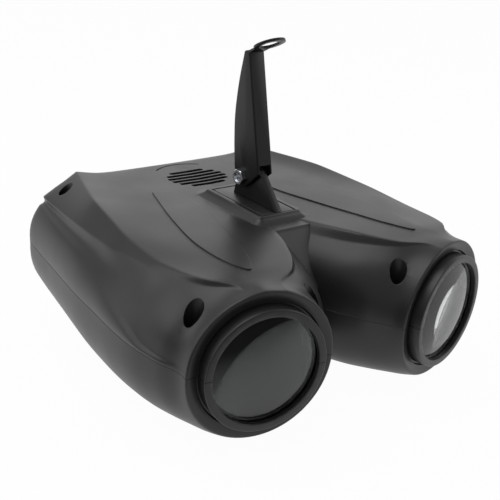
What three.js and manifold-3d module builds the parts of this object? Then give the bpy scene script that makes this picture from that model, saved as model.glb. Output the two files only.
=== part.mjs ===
// Twin-head LED pattern light for a stage: a housing moulded in two halves, with two
// lens heads that spread outwards, a hanging arm on a pivot bracket, and the optics,
// boards, fan and controls that the housing carries.
// Millimetres, +Z up, lenses towards -Y. The origin is on the ground, at the middle
// of the light's length and width.
import * as THREE from "three";
import { mergeVertices } from "three/addons/utils/BufferGeometryUtils.js";
import Module from "manifold-3d";

const wasm = await Module();
wasm.setup();

// Housing
const BODY_HALF_WIDTH = 155.4;
const HEAD_INSET = 61; // lens centre to the housing's side, at the front of the ring
const HEAD_SPREAD = BODY_HALF_WIDTH - HEAD_INSET; // lens centre to the light's middle
const HEAD_TURN = THREE.MathUtils.degToRad(11.8); // outward turn of each head
const NOSE_RADIUS = 57;
const NOSE_SETBACK = 8; // front of the ring to the nose's rim
const NOSE_WALL = 7;
const BODY_DEPTH = 264; // front of the rings to the rear face
const NOTCH_HALF_WIDTH = 21;
const WALL = 2.8;
const REAR_WALL = 7;
const SEAM_GAP = 0.3;
const CLEARANCE = 0.3;
const OVERRUN = 1;

// Rounding of the housing's ends: how far back from the end, and how far in
const RIM_ROUNDING = [[0, 1.4], [1.4, 0]];
const REAR_ROUNDING = [[6, 0], [2.4, 1.2], [0, 4]];

// Lines that run from nose to rear along each half. Each row has a share of the way
// back, a share of BODY_HALF_WIDTH and, where the line has a height, a share of NOSE_RADIUS.
const SEAM_SHARES = [
  [0, 0.955], [0.075, 0.972], [0.15, 0.988], [0.23, 1], [0.34, 0.994],
  [0.46, 0.975], [0.58, 0.956], [0.72, 0.924], [0.87, 0.881], [1, 0.84],
];
const FLANK_RIDGE_SHARES = [
  [0, 0.95, 0.09], [0.18, 0.984, 0.1], [0.26, 0.985, 0.21], [0.37, 0.972, 0.33],
  [0.48, 0.95, 0.42], [0.63, 0.915, 0.51], [0.83, 0.857, 0.54], [1, 0.788, 0.58],
];
const LIP_SHARES = [
  [0, 0.69, 0.975], [0.05, 0.688, 0.974], [0.082, 0.737, 0.947], [0.12, 0.782, 0.925],
  [0.17, 0.819, 0.905], [0.23, 0.843, 0.88], [0.3, 0.862, 0.87], [0.46, 0.878, 0.842],
  [0.57, 0.866, 0.807], [0.73, 0.843, 0.763], [0.89, 0.804, 0.719], [1, 0.779, 0.702],
];
const RIDGE_SHARES = [
  [0, 0.68, 0.985], [0.05, 0.68, 1], [0.085, 0.731, 1.003], [0.11, 0.765, 1], [0.17, 0.803, 0.98],
  [0.23, 0.82, 0.965], [0.31, 0.831, 0.958], [0.47, 0.82, 1], [0.57, 0.795, 1.032],
  [0.7, 0.76, 1.07], [0.75, 0.741, 1.076], [0.87, 0.678, 1.079], [1, 0.605, 1.079],
];
const SHOULDER_SHARES = [
  [0, 0.644, 0.99], [0.1, 0.65, 1.003], [0.2, 0.663, 1.005], [0.4, 0.69, 1.015], [0.67, 0.624, 1.02],
  [0.85, 0.54, 1.01], [1, 0.457, 1.005],
];
const CROWN_SHARES = [
  [0, 0.597, 1], [0.03, 0.587, 0.99], [0.09, 0.572, 0.99], [0.14, 0.557, 1.014],
  [0.25, 0.515, 1.024], [0.36, 0.476, 1.026], [0.5, 0.425, 1.024], [0.7, 0.36, 1.012],
  [1, 0.29, 0.984],
];
const INNER_HEIGHT_SHARES = [[0, 0.98], [0.1, 0.99], [0.2, 1.01], [0.3, 1.01], [0.45, 0.985], [1, 0.98]];
const FLANK_BULGE_SHARE = 0.03;
const INNER_BULGE_SHARE = 0.07;
const SCOOP_SHARE = 0.055;
const NOSE_ANGLE_SHARES = [0, 0.028, 0.405, 0.42, 0.46, 0.5, 0.58, 0.595, 1];
const NOSE_BLEND_SHARE = 0.11;
const BELLY_SHARE = 1.088;
// Along the belly: its roundness, 2 for a circle, and its depth
const BELLY_SHARES = [
  [0, 2, 1], [0.04, 2.4, 1.02], [0.1, 2.5, 1.05], [0.2, 2.75, BELLY_SHARE], [0.45, 3.2, BELLY_SHARE],
  [0.7, 2.9, BELLY_SHARE], [1, 2.5, BELLY_SHARE],
];
const REAR_BULGE = 12; // the rear face swells by this much at the seam
const REAR_BULGE_START_SHARE = 0.72;

// Stations from nose to rear as shares, and steps along each span of a section
const STATION_SHARES = [
  0.035, 0.075, 0.115, 0.165, 0.23, 0.31, 0.41, 0.52, 0.63, 0.73, 0.83, 0.92,
];
const OUTER_STEPS = [2, 4, 1, 2, 1, 2, 1, 3, 4, 4];
const CAVITY_STATION_SHARES = [0.1, 0.2, 0.35, 0.55, 0.8];
const CAVITY_STEPS = [1, 2, 1, 1, 1, 1, 1, 2, 3, 3];
const END_FILL = 0.5; // a ring of points on each end face, as a share of its outline

// Ring and lens
const RING_RADIUS = 46.7;
const RING_LENGTH = 14;
const RING_EDGE = 0.8;
const LENS_OPENING_RADIUS = 41;
const LENS_LIP = 4;
const LENS_RADIUS = 44;
const LENS_EDGE = 3;
const LENS_CROWN = 5.2;
const LENS_BACK_CROWN = 1.6;
const GROOVE_WIDTH = 3.8;
const GROOVE_DEPTH = 4;
const LENS_RING_WIDTH = 3;
const ROUND_STEPS = 24;
const HOLE_STEPS = 10;

// Pattern optics
const BOARD_SETBACK = 78;
const BOARD_RADIUS = 36;
const BOARD_THICKNESS = 1.6;
const LED_RINGS = [[1, 0], [6, 11.5], [12, 23]]; // number of LEDs and ring radius
const LED_SIZE = 4;
const LED_HEIGHT = 1.4;
const LED_SINK = 0.3; // how far the LEDs and lenslets run into what carries them
const ARRAY_RADIUS = 34;
const ARRAY_THICKNESS = 2;
const ARRAY_STANDOFF = 9;
const ARRAY_LEG_RADIUS = 2;
const ARRAY_LEG_CIRCLE = 31.5;
const LENSLET_RADIUS = 4.8;
const LENSLET_CROWN = 1.6;
const BRACKET_WIDTH = 8; // of each of a board bracket's two uprights
const BRACKET_DEPTH = 9;
const BRACKET_OFFSET = 22;
const BRACKET_END = 24.5; // uprights reach this close to the lens axis
const BRACKET_SLOT_DEPTH = 6.8;
const BRACKET_FOOT_TOP = -50;
const SEAT_GAP = 0.1;

// Web between the heads: its outline and the hollow in it, as distances behind its front
// and heights
const WEB_REACH = 204; // rear face to the web's front
const WEB_FRONT = BODY_DEPTH - WEB_REACH;
const WEB_HALF_WIDTH = 21;
const WEB_OUTLINE = [[31, 56], [30, 54], [0, 17], [0, -17], [22, -46], [130, -46], [130, 56]];
const WEB_HOLLOW = [[34, 52.6], [6, 17], [6, -17], [26, -43], [156, -43], [156, 52.6]];
const WEB_HOLLOW_HALF_WIDTH = 16;

// Pad, vent, grooves and leaf panels on the canopy
const PAD_TOP = 62;
const PAD_BOTTOM = 54.8;
const PAD_SETBACK = 46; // behind the web's front
const PAD_LENGTH = 73;
const PAD_FRONT = WEB_FRONT + PAD_SETBACK;
const PAD_REAR = PAD_FRONT + PAD_LENGTH;
const PAD_HALF_WIDTH = 21;
const PAD_SLOPE = 7;
const PAD_REAR_SLOPE = 14;
const PAD_RECESS_DEPTH = 2;
const PAD_SLIT = 1.1;
const PAD_BACKING = [12, 50, 56]; // half-width, and the heights that it spans
const VENT_REACH = 46; // rear face to the vent's centre
const VENT_CENTRE = BODY_DEPTH - VENT_REACH;
const VENT_HALF_WIDTH = 28.5;
const VENT_HALF_DEPTH = 21;
const VENT_SLOTS = 6;
const VENT_SLOT_WIDTH = 4.7;
const VENT_SLOT_PITCH = 6.6;
const CANOPY_BELOW = 44; // cuts through the canopy start at this height
const INTAKE_SLOTS = 5; // in each of two banks
const INTAKE_SLOT = [30, 3.2]; // length and width
const INTAKE_X = 34;
const INTAKE_PITCH = 7;
const ARC_RADIUS = 38;
const ARC_WIDTH = 1.4;
const ARC_FLOOR = 55.2;
const ARC_HALF_ANGLE = THREE.MathUtils.degToRad(38);
const LEAF_FLOOR = 57.2;
const LEAF_OUTER_SHARES = [
  [0.386, 0.75], [0.5, 0.566], [0.581, 0.396], [0.6, 0.29], [0.585, 0.2], [0.535, 0.152],
];
const LEAF_INNER_SHARES = [[0.457, 0.228], [0.4, 0.325], [0.333, 0.456], [0.27, 0.603], [0.261, 0.73]];

// Screws and their recesses: distance along the head, and distance out from its axis
const RECESS_SETBACK = 27;
const RECESS_OFFSET = 45.5;
const RECESS_RADIUS = 6.6;
const RECESS_WALL = 2;
const RECESS_FLOOR = 3.4;
const REAR_RECESS_INSET = 44.4; // from the housing's side
const REAR_RECESS_X = BODY_HALF_WIDTH - REAR_RECESS_INSET;
const REAR_RECESS_REACH = 15; // from the rear face
const REAR_RECESS_Y = BODY_DEPTH - REAR_RECESS_REACH;
const REAR_RECESS_RADIUS = 5.6;
const SCREW_HEAD_RADIUS = 3.6;
const SCREW_HEAD_HEIGHT = 2.6;
const SCREW_RADIUS = 1.5;
const SCREW_LENGTH = 15;
const BOSS_RADIUS = 4.6;
const CROSS_DEPTH = 1.4;
const CROSS_SLOT = [0.5, 2.2]; // half-width and half-length

// Pivot bracket, arm and bolt: setbacks are behind the plate's front
const PLATE_HALF_WIDTH = 16;
const PLATE_THICKNESS = 1.8;
const PLATE_INSET = 3; // plate's front behind the pad's
const PLATE_LENGTH = 65;
const PLATE_FRONT = PAD_FRONT + PLATE_INSET;
const PLATE_REAR = PLATE_FRONT + PLATE_LENGTH;
const STUD_RADIUS = 2;
const STUD_INSET = 9;
const STUD_BOTTOM = 43.5;
const STUD_NUT = [4, 3.2]; // radius and height
const FIN_WIDTH = 7.2;
const FIN_SHEET = 1.8;
const PIVOT_SETBACK = 41;
const PIVOT_Y = PLATE_FRONT + PIVOT_SETBACK;
const PIVOT_Z = 80;
const FIN_TOP_SETBACK = 25.5;
const FIN_TOP_Y = PLATE_FRONT + FIN_TOP_SETBACK;
const FIN_TOP_Z = 89.3;
const FIN_LENGTH = 54;
const FIN_REAR_Y = PLATE_FRONT + FIN_LENGTH;
const ARM_WIDTH = 15;
const ARM_SHEET = 1.8;
const ARM_LENGTH = 98.9; // pivot to fold, along the arm
const ARM_LEAN = THREE.MathUtils.degToRad(14.8);
const ARM_FRONT_OFFSET = 21.5; // web's face ahead of the pivot
const ARM_DEPTH = 30; // flanges at their deepest
const ARM_END_RADIUS = 9;
const ARM_WEB_START = 8.5; // pivot to the web's lower end, along the arm
const ARM_TOE = 7; // flanges below the web's lower end
const ARM_HEEL_ANGLES = [Math.PI * 1.32, Math.PI * 2.05];
const TAB_ROOT = 1.5; // how far the tab runs back into the web
const ARM_EDGE_SHARES = [[0.1, 1], [0.3, 0.93], [0.52, 0.8], [0.77, 0.53], [1, 0.2]];
const TAB_RISE = THREE.MathUtils.degToRad(30);
const TAB_REACH = 16.2; // fold to the ring's centre
const TAB_RING_RADIUS = 12.5;
const TAB_HOLE_RADIUS = 7.5;
const BOLT_RADIUS = 3;
const BOLT_HEAD_RADIUS = 6.6;
const BOLT_HEAD_HEIGHT = 4.2;
const BOLT_RECESS_DEPTH = 2.2;
const BOLT_RECESS_HALF = 2.6;
const BOLT_RECESS_SLOT = 1.1;
const BOLT_PROUD = 2;
const NUT_HEIGHT = 5;
const NUT_RADIUS = 5.6;
const WASHER_RADIUS = 6.2;

// Rear panel and controls: x and z are from the panel's centre
const PANEL_SETBACK = 2.6; // behind the rear bulge's tip
const PANEL_WIDTH = 132;
const PANEL_HEIGHT = 62;
const PANEL_THICKNESS = 2;
const PANEL_LEDGE = 7;
const PANEL_CORNER = 4;
const PANEL_SCREW = [2.8, 1.6, 1.2, 7]; // head radius and height, shank radius and length
const PANEL_SCREW_INSET = 3.6;
const PANEL_BOSS = [3.6, 9]; // radius and length
const INLET_WIDTH = 30;
const INLET_HEIGHT = 23;
const INLET_FLANGE = 2.5;
const INLET_BODY_WIDTH = 27;
const INLET_BODY_HEIGHT = 19.6;
const INLET_BODY_DEPTH = 20;
const INLET_MARGIN = 1.5; // inlet's body to the edge of the housing's opening
const INLET_SOCKET_WIDTH = 24;
const INLET_SOCKET_HEIGHT = 16.4;
const INLET_SOCKET_DEPTH = 16.5;
const INLET_CHAMFER = 5;
const INLET_CORNER = 2;
const INLET_PIN = [2, 4, 14]; // thickness, height and length
const INLET_PIN_PITCH = 7;
const EARTH_PIN_RISE = 2.6;
const SIDE_PIN_DROP = 1.6;
const FUSE_RADIUS = 6.6;
const FUSE_BODY_RADIUS = 5.4;
const FUSE_PROUD = 8;
const FUSE_BODY_DEPTH = 26;
const FUSE_SLOT = [0.7, 4.4, 1.4]; // half-width, half-length and depth
const SWITCH_WIDTH = 15;
const SWITCH_HEIGHT = 21;
const SWITCH_FLANGE = 2;
const SWITCH_FRAME = 1.6;
const SWITCH_CORNER = 1.2;
const SWITCH_BODY_DEPTH = 13;
const SWITCH_BODY_INSET = 0.8;
const SWITCH_WELL_DEPTH = 9;
const ROCKER_PIVOT_DEPTH = 4.5; // behind the panel's face
const ROCKER_PROUD = 4.6;
const ROCKER_VALLEY = 3.2;
const ROCKER_TILT = THREE.MathUtils.degToRad(8);
const ROCKER_END_GAP = 1.3;
const ROCKER_BACK = [3, 1.5]; // back face behind the pivot, and the ends' height ahead of it
const KNOB_MARGIN = 4; // knob to the edge of the housing's opening
const KNOB_RADIUS = 8;
const KNOB_LENGTH = 13;
const KNOB_GAP = 0.8;
const KNOB_FLUTES = 12;
const KNOB_FLUTE_RADIUS = 0.9;
const KNOB_SHELL = 2;
const KNOB_POINTER = [0.6, 1.2, 6]; // half-width, depth and length
const DIAL_SHAFT_RADIUS = 3;
const DIAL_SHAFT_LENGTH = 11;
const DIAL_BODY = [8, 7]; // radius and depth
const DIAL_NUT = [5.2, 2]; // radius and height
const DIAL_THREAD_RADIUS = 3.6;
const SLIDER_TRAVEL = 4;
const SLIDER_NUB = [1.8, 1.6, 3]; // half-width, half-height and how far it stands proud
const SLIDER_SHOE = [3.4, 2.4, 1.4];
const SLIDER_BODY = [8, 4, 6]; // half-width, half-height and depth
const SMALL_PARTS_Z = -14;
const MIC_RADIUS = 4.8;
const MIC_DEPTH = 7;
const MIC_PROUD = 0.6;
const MIC_FLANGE = [5.8, 1];
const MIC_HOLES = [[1, 0], [4, 2.6]]; // number of holes and ring radius
const MIC_HOLE_RADIUS = 0.8;
const MIC_HOLE_DEPTH = 2;
const LIGHT_RADIUS = 2.4;
const LIGHT_PROUD = 2.6;
const LIGHT_FLANGE_RADIUS = 3;
const LIGHT_DEPTH = 5;
const CONTROL_GAP_SHARES = [64, 79, 65, 30]; // between controls, in parts of the width left free

// Boards, fan and feet
const POST_RADIUS = 3.2;
const POST_PIN = [1.3, 3.4]; // radius and length
const BOARD_INSET = 5;
const CONTROL_BOARD_REACH = 127; // rear face to the board's centre
const CONTROL_BOARD = { width: 96, depth: 50, height: -32, centre: BODY_DEPTH - CONTROL_BOARD_REACH };
const POWER_BOARD_REACH = 56;
const POWER_BOARD = { width: 96, depth: 56, height: -42, centre: BODY_DEPTH - POWER_BOARD_REACH };
const CONTROL_CHIPS = [ // x, y from the board's centre, width, depth and height
  [-20, 8, 14, 14, 2.4], [8, -10, 10, 8, 2], [30, 12, 12, 7, 2], [34, -10, 9, 14, 9],
  [-38, -12, 9, 14, 9], [-6, 16, 20, 5, 8],
];
const POWER_BLOCKS = [
  [-26, -4, 34, 28, 26], [14, 14, 22, 8, 22], [34, -12, 16, 14, 15], [-4, 20, 10, 6, 12],
];
const POWER_CANS = [[16, -12, 8, 24], [38, 12, 6, 18], [2, -16, 5, 14]]; // x, y, radius and height
const FAN_CENTRE_HALF = 25;
const FAN_CORNER = 3;
const FAN_DEPTH = 13;
const FAN_BORE = 23.6;
const FAN_TOP = 51;
const FAN_HOLE = [21, 1.9]; // offset of the holes, and their radius
const FAN_STAND_RADIUS = 3;
const FAN_STAKE_RADIUS = 3;
const FAN_STAKE_HEIGHT = 1.4;
const FAN_HUB_RADIUS = 10;
const FAN_HUB_TOP = 1.2;
const FAN_BLADES = 7;
const FAN_BLADE_TIP = 22.4;
const FAN_BLADE = [1.2, 10]; // thickness and width
const FAN_BLADE_PITCH = THREE.MathUtils.degToRad(42);
const FAN_SPIDER = [2.4, 1.6]; // width and thickness of the arms
const FAN_SPIDER_ARMS = 3;
const FOOT_RADIUS = 9;
const FOOT_HEIGHT = 4.5;
const FOOT_EDGE = 1;
const FOOT_PAD_RADIUS = 11;
const FOOT_PAD_TOP = -54;
const FOOT_PAD_DROP = 0.6; // the pads stand this far below the belly
const FOOT_STEM = [2.8, 7]; // radius and length
const FOOT_INSETS = [20.4, 10.4]; // front and rear feet from the lens centres' lines
const FOOT_SETBACK = 62; // front feet behind the rings' front
const FOOT_REACH = 28; // rear feet ahead of the rear face
const FEET = {
  front: [HEAD_SPREAD - FOOT_INSETS[0], FOOT_SETBACK],
  rear: [HEAD_SPREAD - FOOT_INSETS[1], BODY_DEPTH - FOOT_REACH],
};

// Working shapes
const FAR = 400;
const MERGE = 1e-4;

function solid(geometry) {
  const plain = geometry.clone();
  plain.deleteAttribute("normal");
  plain.deleteAttribute("uv");
  const merged = mergeVertices(plain, MERGE);
  const points = merged.attributes.position;
  const corners = merged.index.array;
  const triangles = [];
  let volume = 0;
  const [a, b, c] = [new THREE.Vector3(), new THREE.Vector3(), new THREE.Vector3()];
  for (let i = 0; i < corners.length; i += 3) {
    const [p, q, r] = corners.slice(i, i + 3);
    if (p === q || q === r || r === p) continue;
    triangles.push([p, q, r]);
    a.fromBufferAttribute(points, p);
    b.fromBufferAttribute(points, q);
    c.fromBufferAttribute(points, r);
    volume += a.dot(b.cross(c));
  }
  const outward = volume > 0 ? triangles : triangles.map(([p, q, r]) => [p, r, q]);
  const mesh = new wasm.Mesh({
    numProp: 3,
    vertProperties: new Float32Array(points.array),
    triVerts: new Uint32Array(outward.flat()),
  });
  return new wasm.Manifold(mesh);
}

function geometryOf(manifold) {
  const mesh = manifold.getMesh();
  const geometry = new THREE.BufferGeometry();
  geometry.setAttribute("position", new THREE.BufferAttribute(mesh.vertProperties, 3));
  geometry.setIndex(new THREE.BufferAttribute(mesh.triVerts, 1));
  geometry.computeVertexNormals();
  return geometry;
}

function joined(solids) {
  return solids.reduce((whole, piece) => whole.add(piece));
}

function cutBy(whole, cutters) {
  return cutters.reduce((left, cutter) => left.subtract(cutter), whole);
}

function boxGeometry([x0, x1], [y0, y1], [z0, z1]) {
  const geometry = new THREE.BoxGeometry(x1 - x0, y1 - y0, z1 - z0);
  return geometry.translate((x0 + x1) / 2, (y0 + y1) / 2, (z0 + z1) / 2);
}

function box(x, y, z) {
  return solid(boxGeometry(x, y, z));
}

function wedge(low, high, [z0, z1]) {
  const geometry = boxGeometry([0, 1], [0, 1], [0, 1]);
  const points = geometry.attributes.position;
  for (let i = 0; i < points.count; i += 1) {
    const ends = points.getZ(i) > 0 ? high : low;
    const x = ends.x[points.getX(i)];
    const y = ends.y[points.getY(i)];
    points.setXYZ(i, x, y, points.getZ(i) > 0 ? z1 : z0);
  }
  return solid(geometry);
}

function postGeometry(x, y, [z0, z1], radius, sides = 24) {
  const geometry = new THREE.CylinderGeometry(radius, radius, z1 - z0, sides);
  return geometry.rotateX(Math.PI / 2).translate(x, y, (z0 + z1) / 2);
}

function post(x, y, z, radius, sides) {
  return solid(postGeometry(x, y, z, radius, sides));
}

function rodAlongY(x, z, [y0, y1], radius, sides = 24) {
  const geometry = new THREE.CylinderGeometry(radius, radius, y1 - y0, sides);
  return solid(geometry.translate(x, (y0 + y1) / 2, z));
}

function rodAlongX(y, z, [x0, x1], radius, sides = 24) {
  const geometry = new THREE.CylinderGeometry(radius, radius, x1 - x0, sides);
  return solid(geometry.rotateZ(Math.PI / 2).translate((x0 + x1) / 2, y, z));
}

function slab(shape, [z0, z1], curveSegments = 5) {
  const geometry = new THREE.ExtrudeGeometry(shape, { depth: z1 - z0, bevelEnabled: false, curveSegments });
  return solid(geometry.translate(0, 0, z0));
}

// An outline of [y, z] points, spread along X
function sidePlate(outline, [x0, x1]) {
  const shape = new THREE.Shape(outline.map(([y, z]) => new THREE.Vector2(y, z)));
  const geometry = new THREE.ExtrudeGeometry(shape, { depth: x1 - x0, bevelEnabled: false });
  const turn = new THREE.Matrix4().set(0, 0, 1, x0, 1, 0, 0, 0, 0, 1, 0, 0, 0, 0, 0, 1);
  return solid(geometry.applyMatrix4(turn));
}

function roundedShape(halfWidth, halfHeight, radius) {
  const shape = new THREE.Shape();
  shape.absarc(halfWidth - radius, halfHeight - radius, radius, 0, Math.PI / 2);
  shape.absarc(radius - halfWidth, halfHeight - radius, radius, Math.PI / 2, Math.PI);
  shape.absarc(radius - halfWidth, radius - halfHeight, radius, Math.PI, Math.PI * 1.5);
  shape.absarc(halfWidth - radius, radius - halfHeight, radius, Math.PI * 1.5, Math.PI * 2);
  shape.closePath();
  return shape;
}

// A plate in the XZ plane, from y0 to y1
function uprightPlate(shape, [y0, y1], curveSegments = 2) {
  const geometry = new THREE.ExtrudeGeometry(shape, { depth: y1 - y0, bevelEnabled: false, curveSegments });
  return solid(geometry.rotateX(Math.PI / 2).translate(0, y1, 0));
}

// A ring or disc about the Y axis from [radius, y] points
function turned(profile, steps = ROUND_STEPS) {
  return solid(turnedGeometry(profile, steps));
}

function turnedGeometry(profile, steps = ROUND_STEPS) {
  return new THREE.LatheGeometry(profile.map(([r, y]) => new THREE.Vector2(r, y)), steps);
}

function closedProfile(points) {
  return [...points, points[0]];
}

function arcPoints(centre, radius, from, to, steps) {
  return Array.from({ length: steps + 1 }, (unused, i) => {
    const angle = from + ((to - from) * i) / steps;
    return [centre[0] + radius * Math.cos(angle), centre[1] + radius * Math.sin(angle)];
  });
}

// Smooth value of a table's column at a share, through its rows
function along(table, share, column) {
  const last = table.length - 1;
  const at = THREE.MathUtils.clamp(share, table[0][0], table[last][0]);
  const i = Math.min(last - 1, Math.max(0, table.findIndex((row) => row[0] >= at) - 1));
  const slope = (k) => {
    const [before, after] = [table[Math.max(0, k - 1)], table[Math.min(last, k + 1)]];
    return (after[column] - before[column]) / (after[0] - before[0]);
  };
  const span = table[i + 1][0] - table[i][0];
  const f = (at - table[i][0]) / span;
  const [f2, f3] = [f * f, f * f * f];
  return (
    (2 * f3 - 3 * f2 + 1) * table[i][column] +
    (f3 - 2 * f2 + f) * span * slope(i) +
    (3 * f2 - 2 * f3) * table[i + 1][column] +
    (f3 - f2) * span * slope(i + 1)
  );
}

// Stations: lines across each half that turn from square to the lens axis at the nose
// to square to the light at the rear. They bend at the notch's corner.
const TURN_SLOPE = Math.tan(HEAD_TURN);
const CORNER_REACH = HEAD_SPREAD - NOTCH_HALF_WIDTH;
const NOSE_START =
  NOSE_SETBACK * (Math.cos(HEAD_TURN) + TURN_SLOPE * Math.sin(HEAD_TURN)) - TURN_SLOPE * CORNER_REACH;
const STATION_RUN = BODY_DEPTH - NOSE_START;

function shareAlongAxis(setback) {
  const drift = setback * TURN_SLOPE * Math.sin(HEAD_TURN);
  const ahead = setback * Math.cos(HEAD_TURN) + drift - NOSE_START - TURN_SLOPE * CORNER_REACH;
  return ahead / (STATION_RUN - TURN_SLOPE * CORNER_REACH + drift);
}

function shareAtDepth(depth) {
  return (depth - NOSE_START) / STATION_RUN;
}

function stationAt(share) {
  const start = NOSE_START + STATION_RUN * share;
  const slope = TURN_SLOPE * (1 - share);
  const setback = (start + slope * CORNER_REACH) / (Math.cos(HEAD_TURN) + slope * Math.sin(HEAD_TURN));
  return { share, start, slope, axisX: HEAD_SPREAD - setback * Math.sin(HEAD_TURN) };
}

function stationDepth(station, x, z) {
  const swell = REAR_BULGE * THREE.MathUtils.smoothstep(station.share, REAR_BULGE_START_SHARE, 1);
  const level = Math.min(1, Math.abs(z) / NOSE_RADIUS);
  return station.start + station.slope * Math.max(0, x - NOTCH_HALF_WIDTH) + swell * (1 - level ** 3);
}

// The nine lines' points on a station, from the outer seam over the top to the inner seam.
// The inner three mirror the outer ridge, lip and seam about the head's axis.
function linePoints({ share, slope, axisX }) {
  const blend = THREE.MathUtils.smoothstep(share, 0, NOSE_BLEND_SHARE);
  const narrowing = Math.cos(Math.atan(slope));
  const lines = [FLANK_RIDGE_SHARES, LIP_SHARES, RIDGE_SHARES, SHOULDER_SHARES, CROWN_SHARES].map((table) => [
    along(table, share, 1) * BODY_HALF_WIDTH,
    along(table, share, 2) * NOSE_RADIUS,
  ]);
  const seam = [along(SEAM_SHARES, share, 1) * BODY_HALF_WIDTH, 0];
  const innerRidge = [2 * axisX - lines[2][0], along(INNER_HEIGHT_SHARES, share, 1) * NOSE_RADIUS];
  const inner = [innerRidge, [2 * axisX - lines[1][0], lines[1][1]], [2 * axisX - seam[0], 0]];
  return [seam, ...lines, ...inner].map(([x, z], i) => {
    const angle = NOSE_ANGLE_SHARES[i] * Math.PI;
    const round = new THREE.Vector2(Math.cos(angle) * narrowing, Math.sin(angle)).multiplyScalar(NOSE_RADIUS);
    return round.setX(round.x + axisX).lerp(new THREE.Vector2(x, z), blend);
  });
}

// Points between two points that swing about the head's axis, swelled by a bulge
function swing(from, to, steps, axisX, bulge) {
  const radii = [from, to].map((p) => Math.hypot(p.x - axisX, p.y));
  const angles = [from, to].map((p) => Math.atan2(p.y, p.x - axisX));
  return Array.from({ length: steps }, (unused, i) => {
    const f = i / steps;
    const angle = THREE.MathUtils.lerp(angles[0], angles[1], f);
    const radius = THREE.MathUtils.lerp(radii[0], radii[1], f) + bulge * Math.sin(Math.PI * f);
    return new THREE.Vector2(axisX + radius * Math.cos(angle), radius * Math.sin(angle));
  });
}

function straight(from, to, steps) {
  return Array.from({ length: steps }, (unused, i) => from.clone().lerp(to, i / steps));
}

// Points over the canopy, on one smooth curve through its lines
function canopy(lines, steps) {
  const curve = new THREE.SplineCurve(lines);
  const spans = lines.length - 1;
  return steps.flatMap((count, span) =>
    Array.from({ length: count }, (unused, i) => curve.getPoint((span + i / count) / spans)),
  );
}

// The belly's outline from the inner seam to the outer seam
function belly({ axisX, share }, reach, innerSteps, outerSteps) {
  const roundness = along(BELLY_SHARES, share, 1);
  const depth = along(BELLY_SHARES, share, 2) * NOSE_RADIUS;
  const steps = innerSteps + outerSteps;
  return Array.from({ length: steps }, (unused, i) => {
    const angle = (Math.PI * i) / steps;
    const across = Math.sign(Math.cos(angle)) * Math.abs(Math.cos(angle)) ** (2 / roundness);
    return new THREE.Vector2(axisX - reach * across, -depth * Math.sin(angle) ** (2 / roundness));
  });
}

function section(station, steps) {
  const lines = linePoints(station);
  const { axisX, share } = station;
  const grown = THREE.MathUtils.smoothstep(share, 0, NOSE_BLEND_SHARE * 2) * NOSE_RADIUS;
  return [
    ...swing(lines[0], lines[1], steps[0], axisX, FLANK_BULGE_SHARE * grown),
    ...swing(lines[1], lines[2], steps[1], axisX, -SCOOP_SHARE * grown),
    ...straight(lines[2], lines[3], steps[2]),
    ...canopy(lines.slice(3, 7), steps.slice(3, 6)),
    ...straight(lines[6], lines[7], steps[6]),
    ...swing(lines[7], lines[8], steps[7], axisX, INNER_BULGE_SHARE * grown),
    ...belly(station, lines[0].x - axisX, steps[8], steps[9]),
  ];
}

// A section drawn in by a distance, shrunk towards its middle and cut off at the light's middle
function drawnIn(points, distance, size) {
  const count = points.length;
  const drawn = points.map((point, i) => {
    const edge = points[(i + 1) % count].clone().sub(points[(i + count - 1) % count]).normalize();
    const moved = new THREE.Vector2(point.x - edge.y * distance, point.y + edge.x * distance);
    return moved.setX(Math.max(-OVERRUN, moved.x));
  });
  const middle = drawn.reduce((sum, p) => sum.add(p), new THREE.Vector2()).divideScalar(count);
  return [...drawn.map((p) => p.sub(middle).multiplyScalar(size).add(middle)), middle];
}

// Half of the housing as a solid through its stations; side is 1 or -1
function halfBody(stations, steps, side) {
  const first = { ...stations[0], size: END_FILL };
  const last = { ...stations[stations.length - 1], size: END_FILL };
  const loops = [first, ...stations, last].map(({ share, inset, size = 1 }) => {
    const station = stationAt(share);
    return drawnIn(section(station, steps), inset, size).map(
      (p) => new THREE.Vector3(p.x * side, stationDepth(station, p.x, p.y), p.y),
    );
  });
  const stride = loops[0].length;
  const count = stride - 1;
  const triangles = [];
  for (let s = 0; s < loops.length - 1; s += 1) {
    for (let i = 0; i < count; i += 1) {
      const [a, b] = [s * stride + i, s * stride + ((i + 1) % count)];
      triangles.push([a, a + stride, b + stride], [a, b + stride, b]);
    }
  }
  for (const [s, order] of [[0, 1], [loops.length - 1, -1]]) {
    for (let i = 0; i < count; i += 1) {
      const rim = [s * stride + i, s * stride + ((i + 1) % count)];
      triangles.push([s * stride + count, ...(order > 0 ? rim : rim.reverse())]);
    }
  }
  const used = [...new Set(triangles.flat())];
  const place = new Map(used.map((corner, i) => [corner, i]));
  const points = loops.flat();
  const geometry = new THREE.BufferGeometry().setFromPoints(used.map((corner) => points[corner]));
  geometry.setIndex(triangles.flat().map((corner) => place.get(corner)));
  return solid(geometry);
}

function skin(stations, steps) {
  const ordered = [...stations].sort((a, b) => a.share - b.share);
  return halfBody(ordered, steps, 1).add(halfBody(ordered, steps, -1));
}

function outerSkin() {
  const rim = RIM_ROUNDING.map(([back, inset]) => ({ share: shareAlongAxis(NOSE_SETBACK + back), inset }));
  const rear = REAR_ROUNDING.map(([ahead, inset]) => ({ share: shareAtDepth(BODY_DEPTH - ahead), inset }));
  return skin([...rim, ...STATION_SHARES.map((share) => ({ share, inset: 0 })), ...rear], OUTER_STEPS);
}

function cavity() {
  const ends = [shareAlongAxis(NOSE_SETBACK + NOSE_WALL), shareAtDepth(BODY_DEPTH - REAR_WALL)];
  return skin([...ends, ...CAVITY_STATION_SHARES].map((share) => ({ share, inset: WALL })), CAVITY_STEPS);
}

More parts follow.
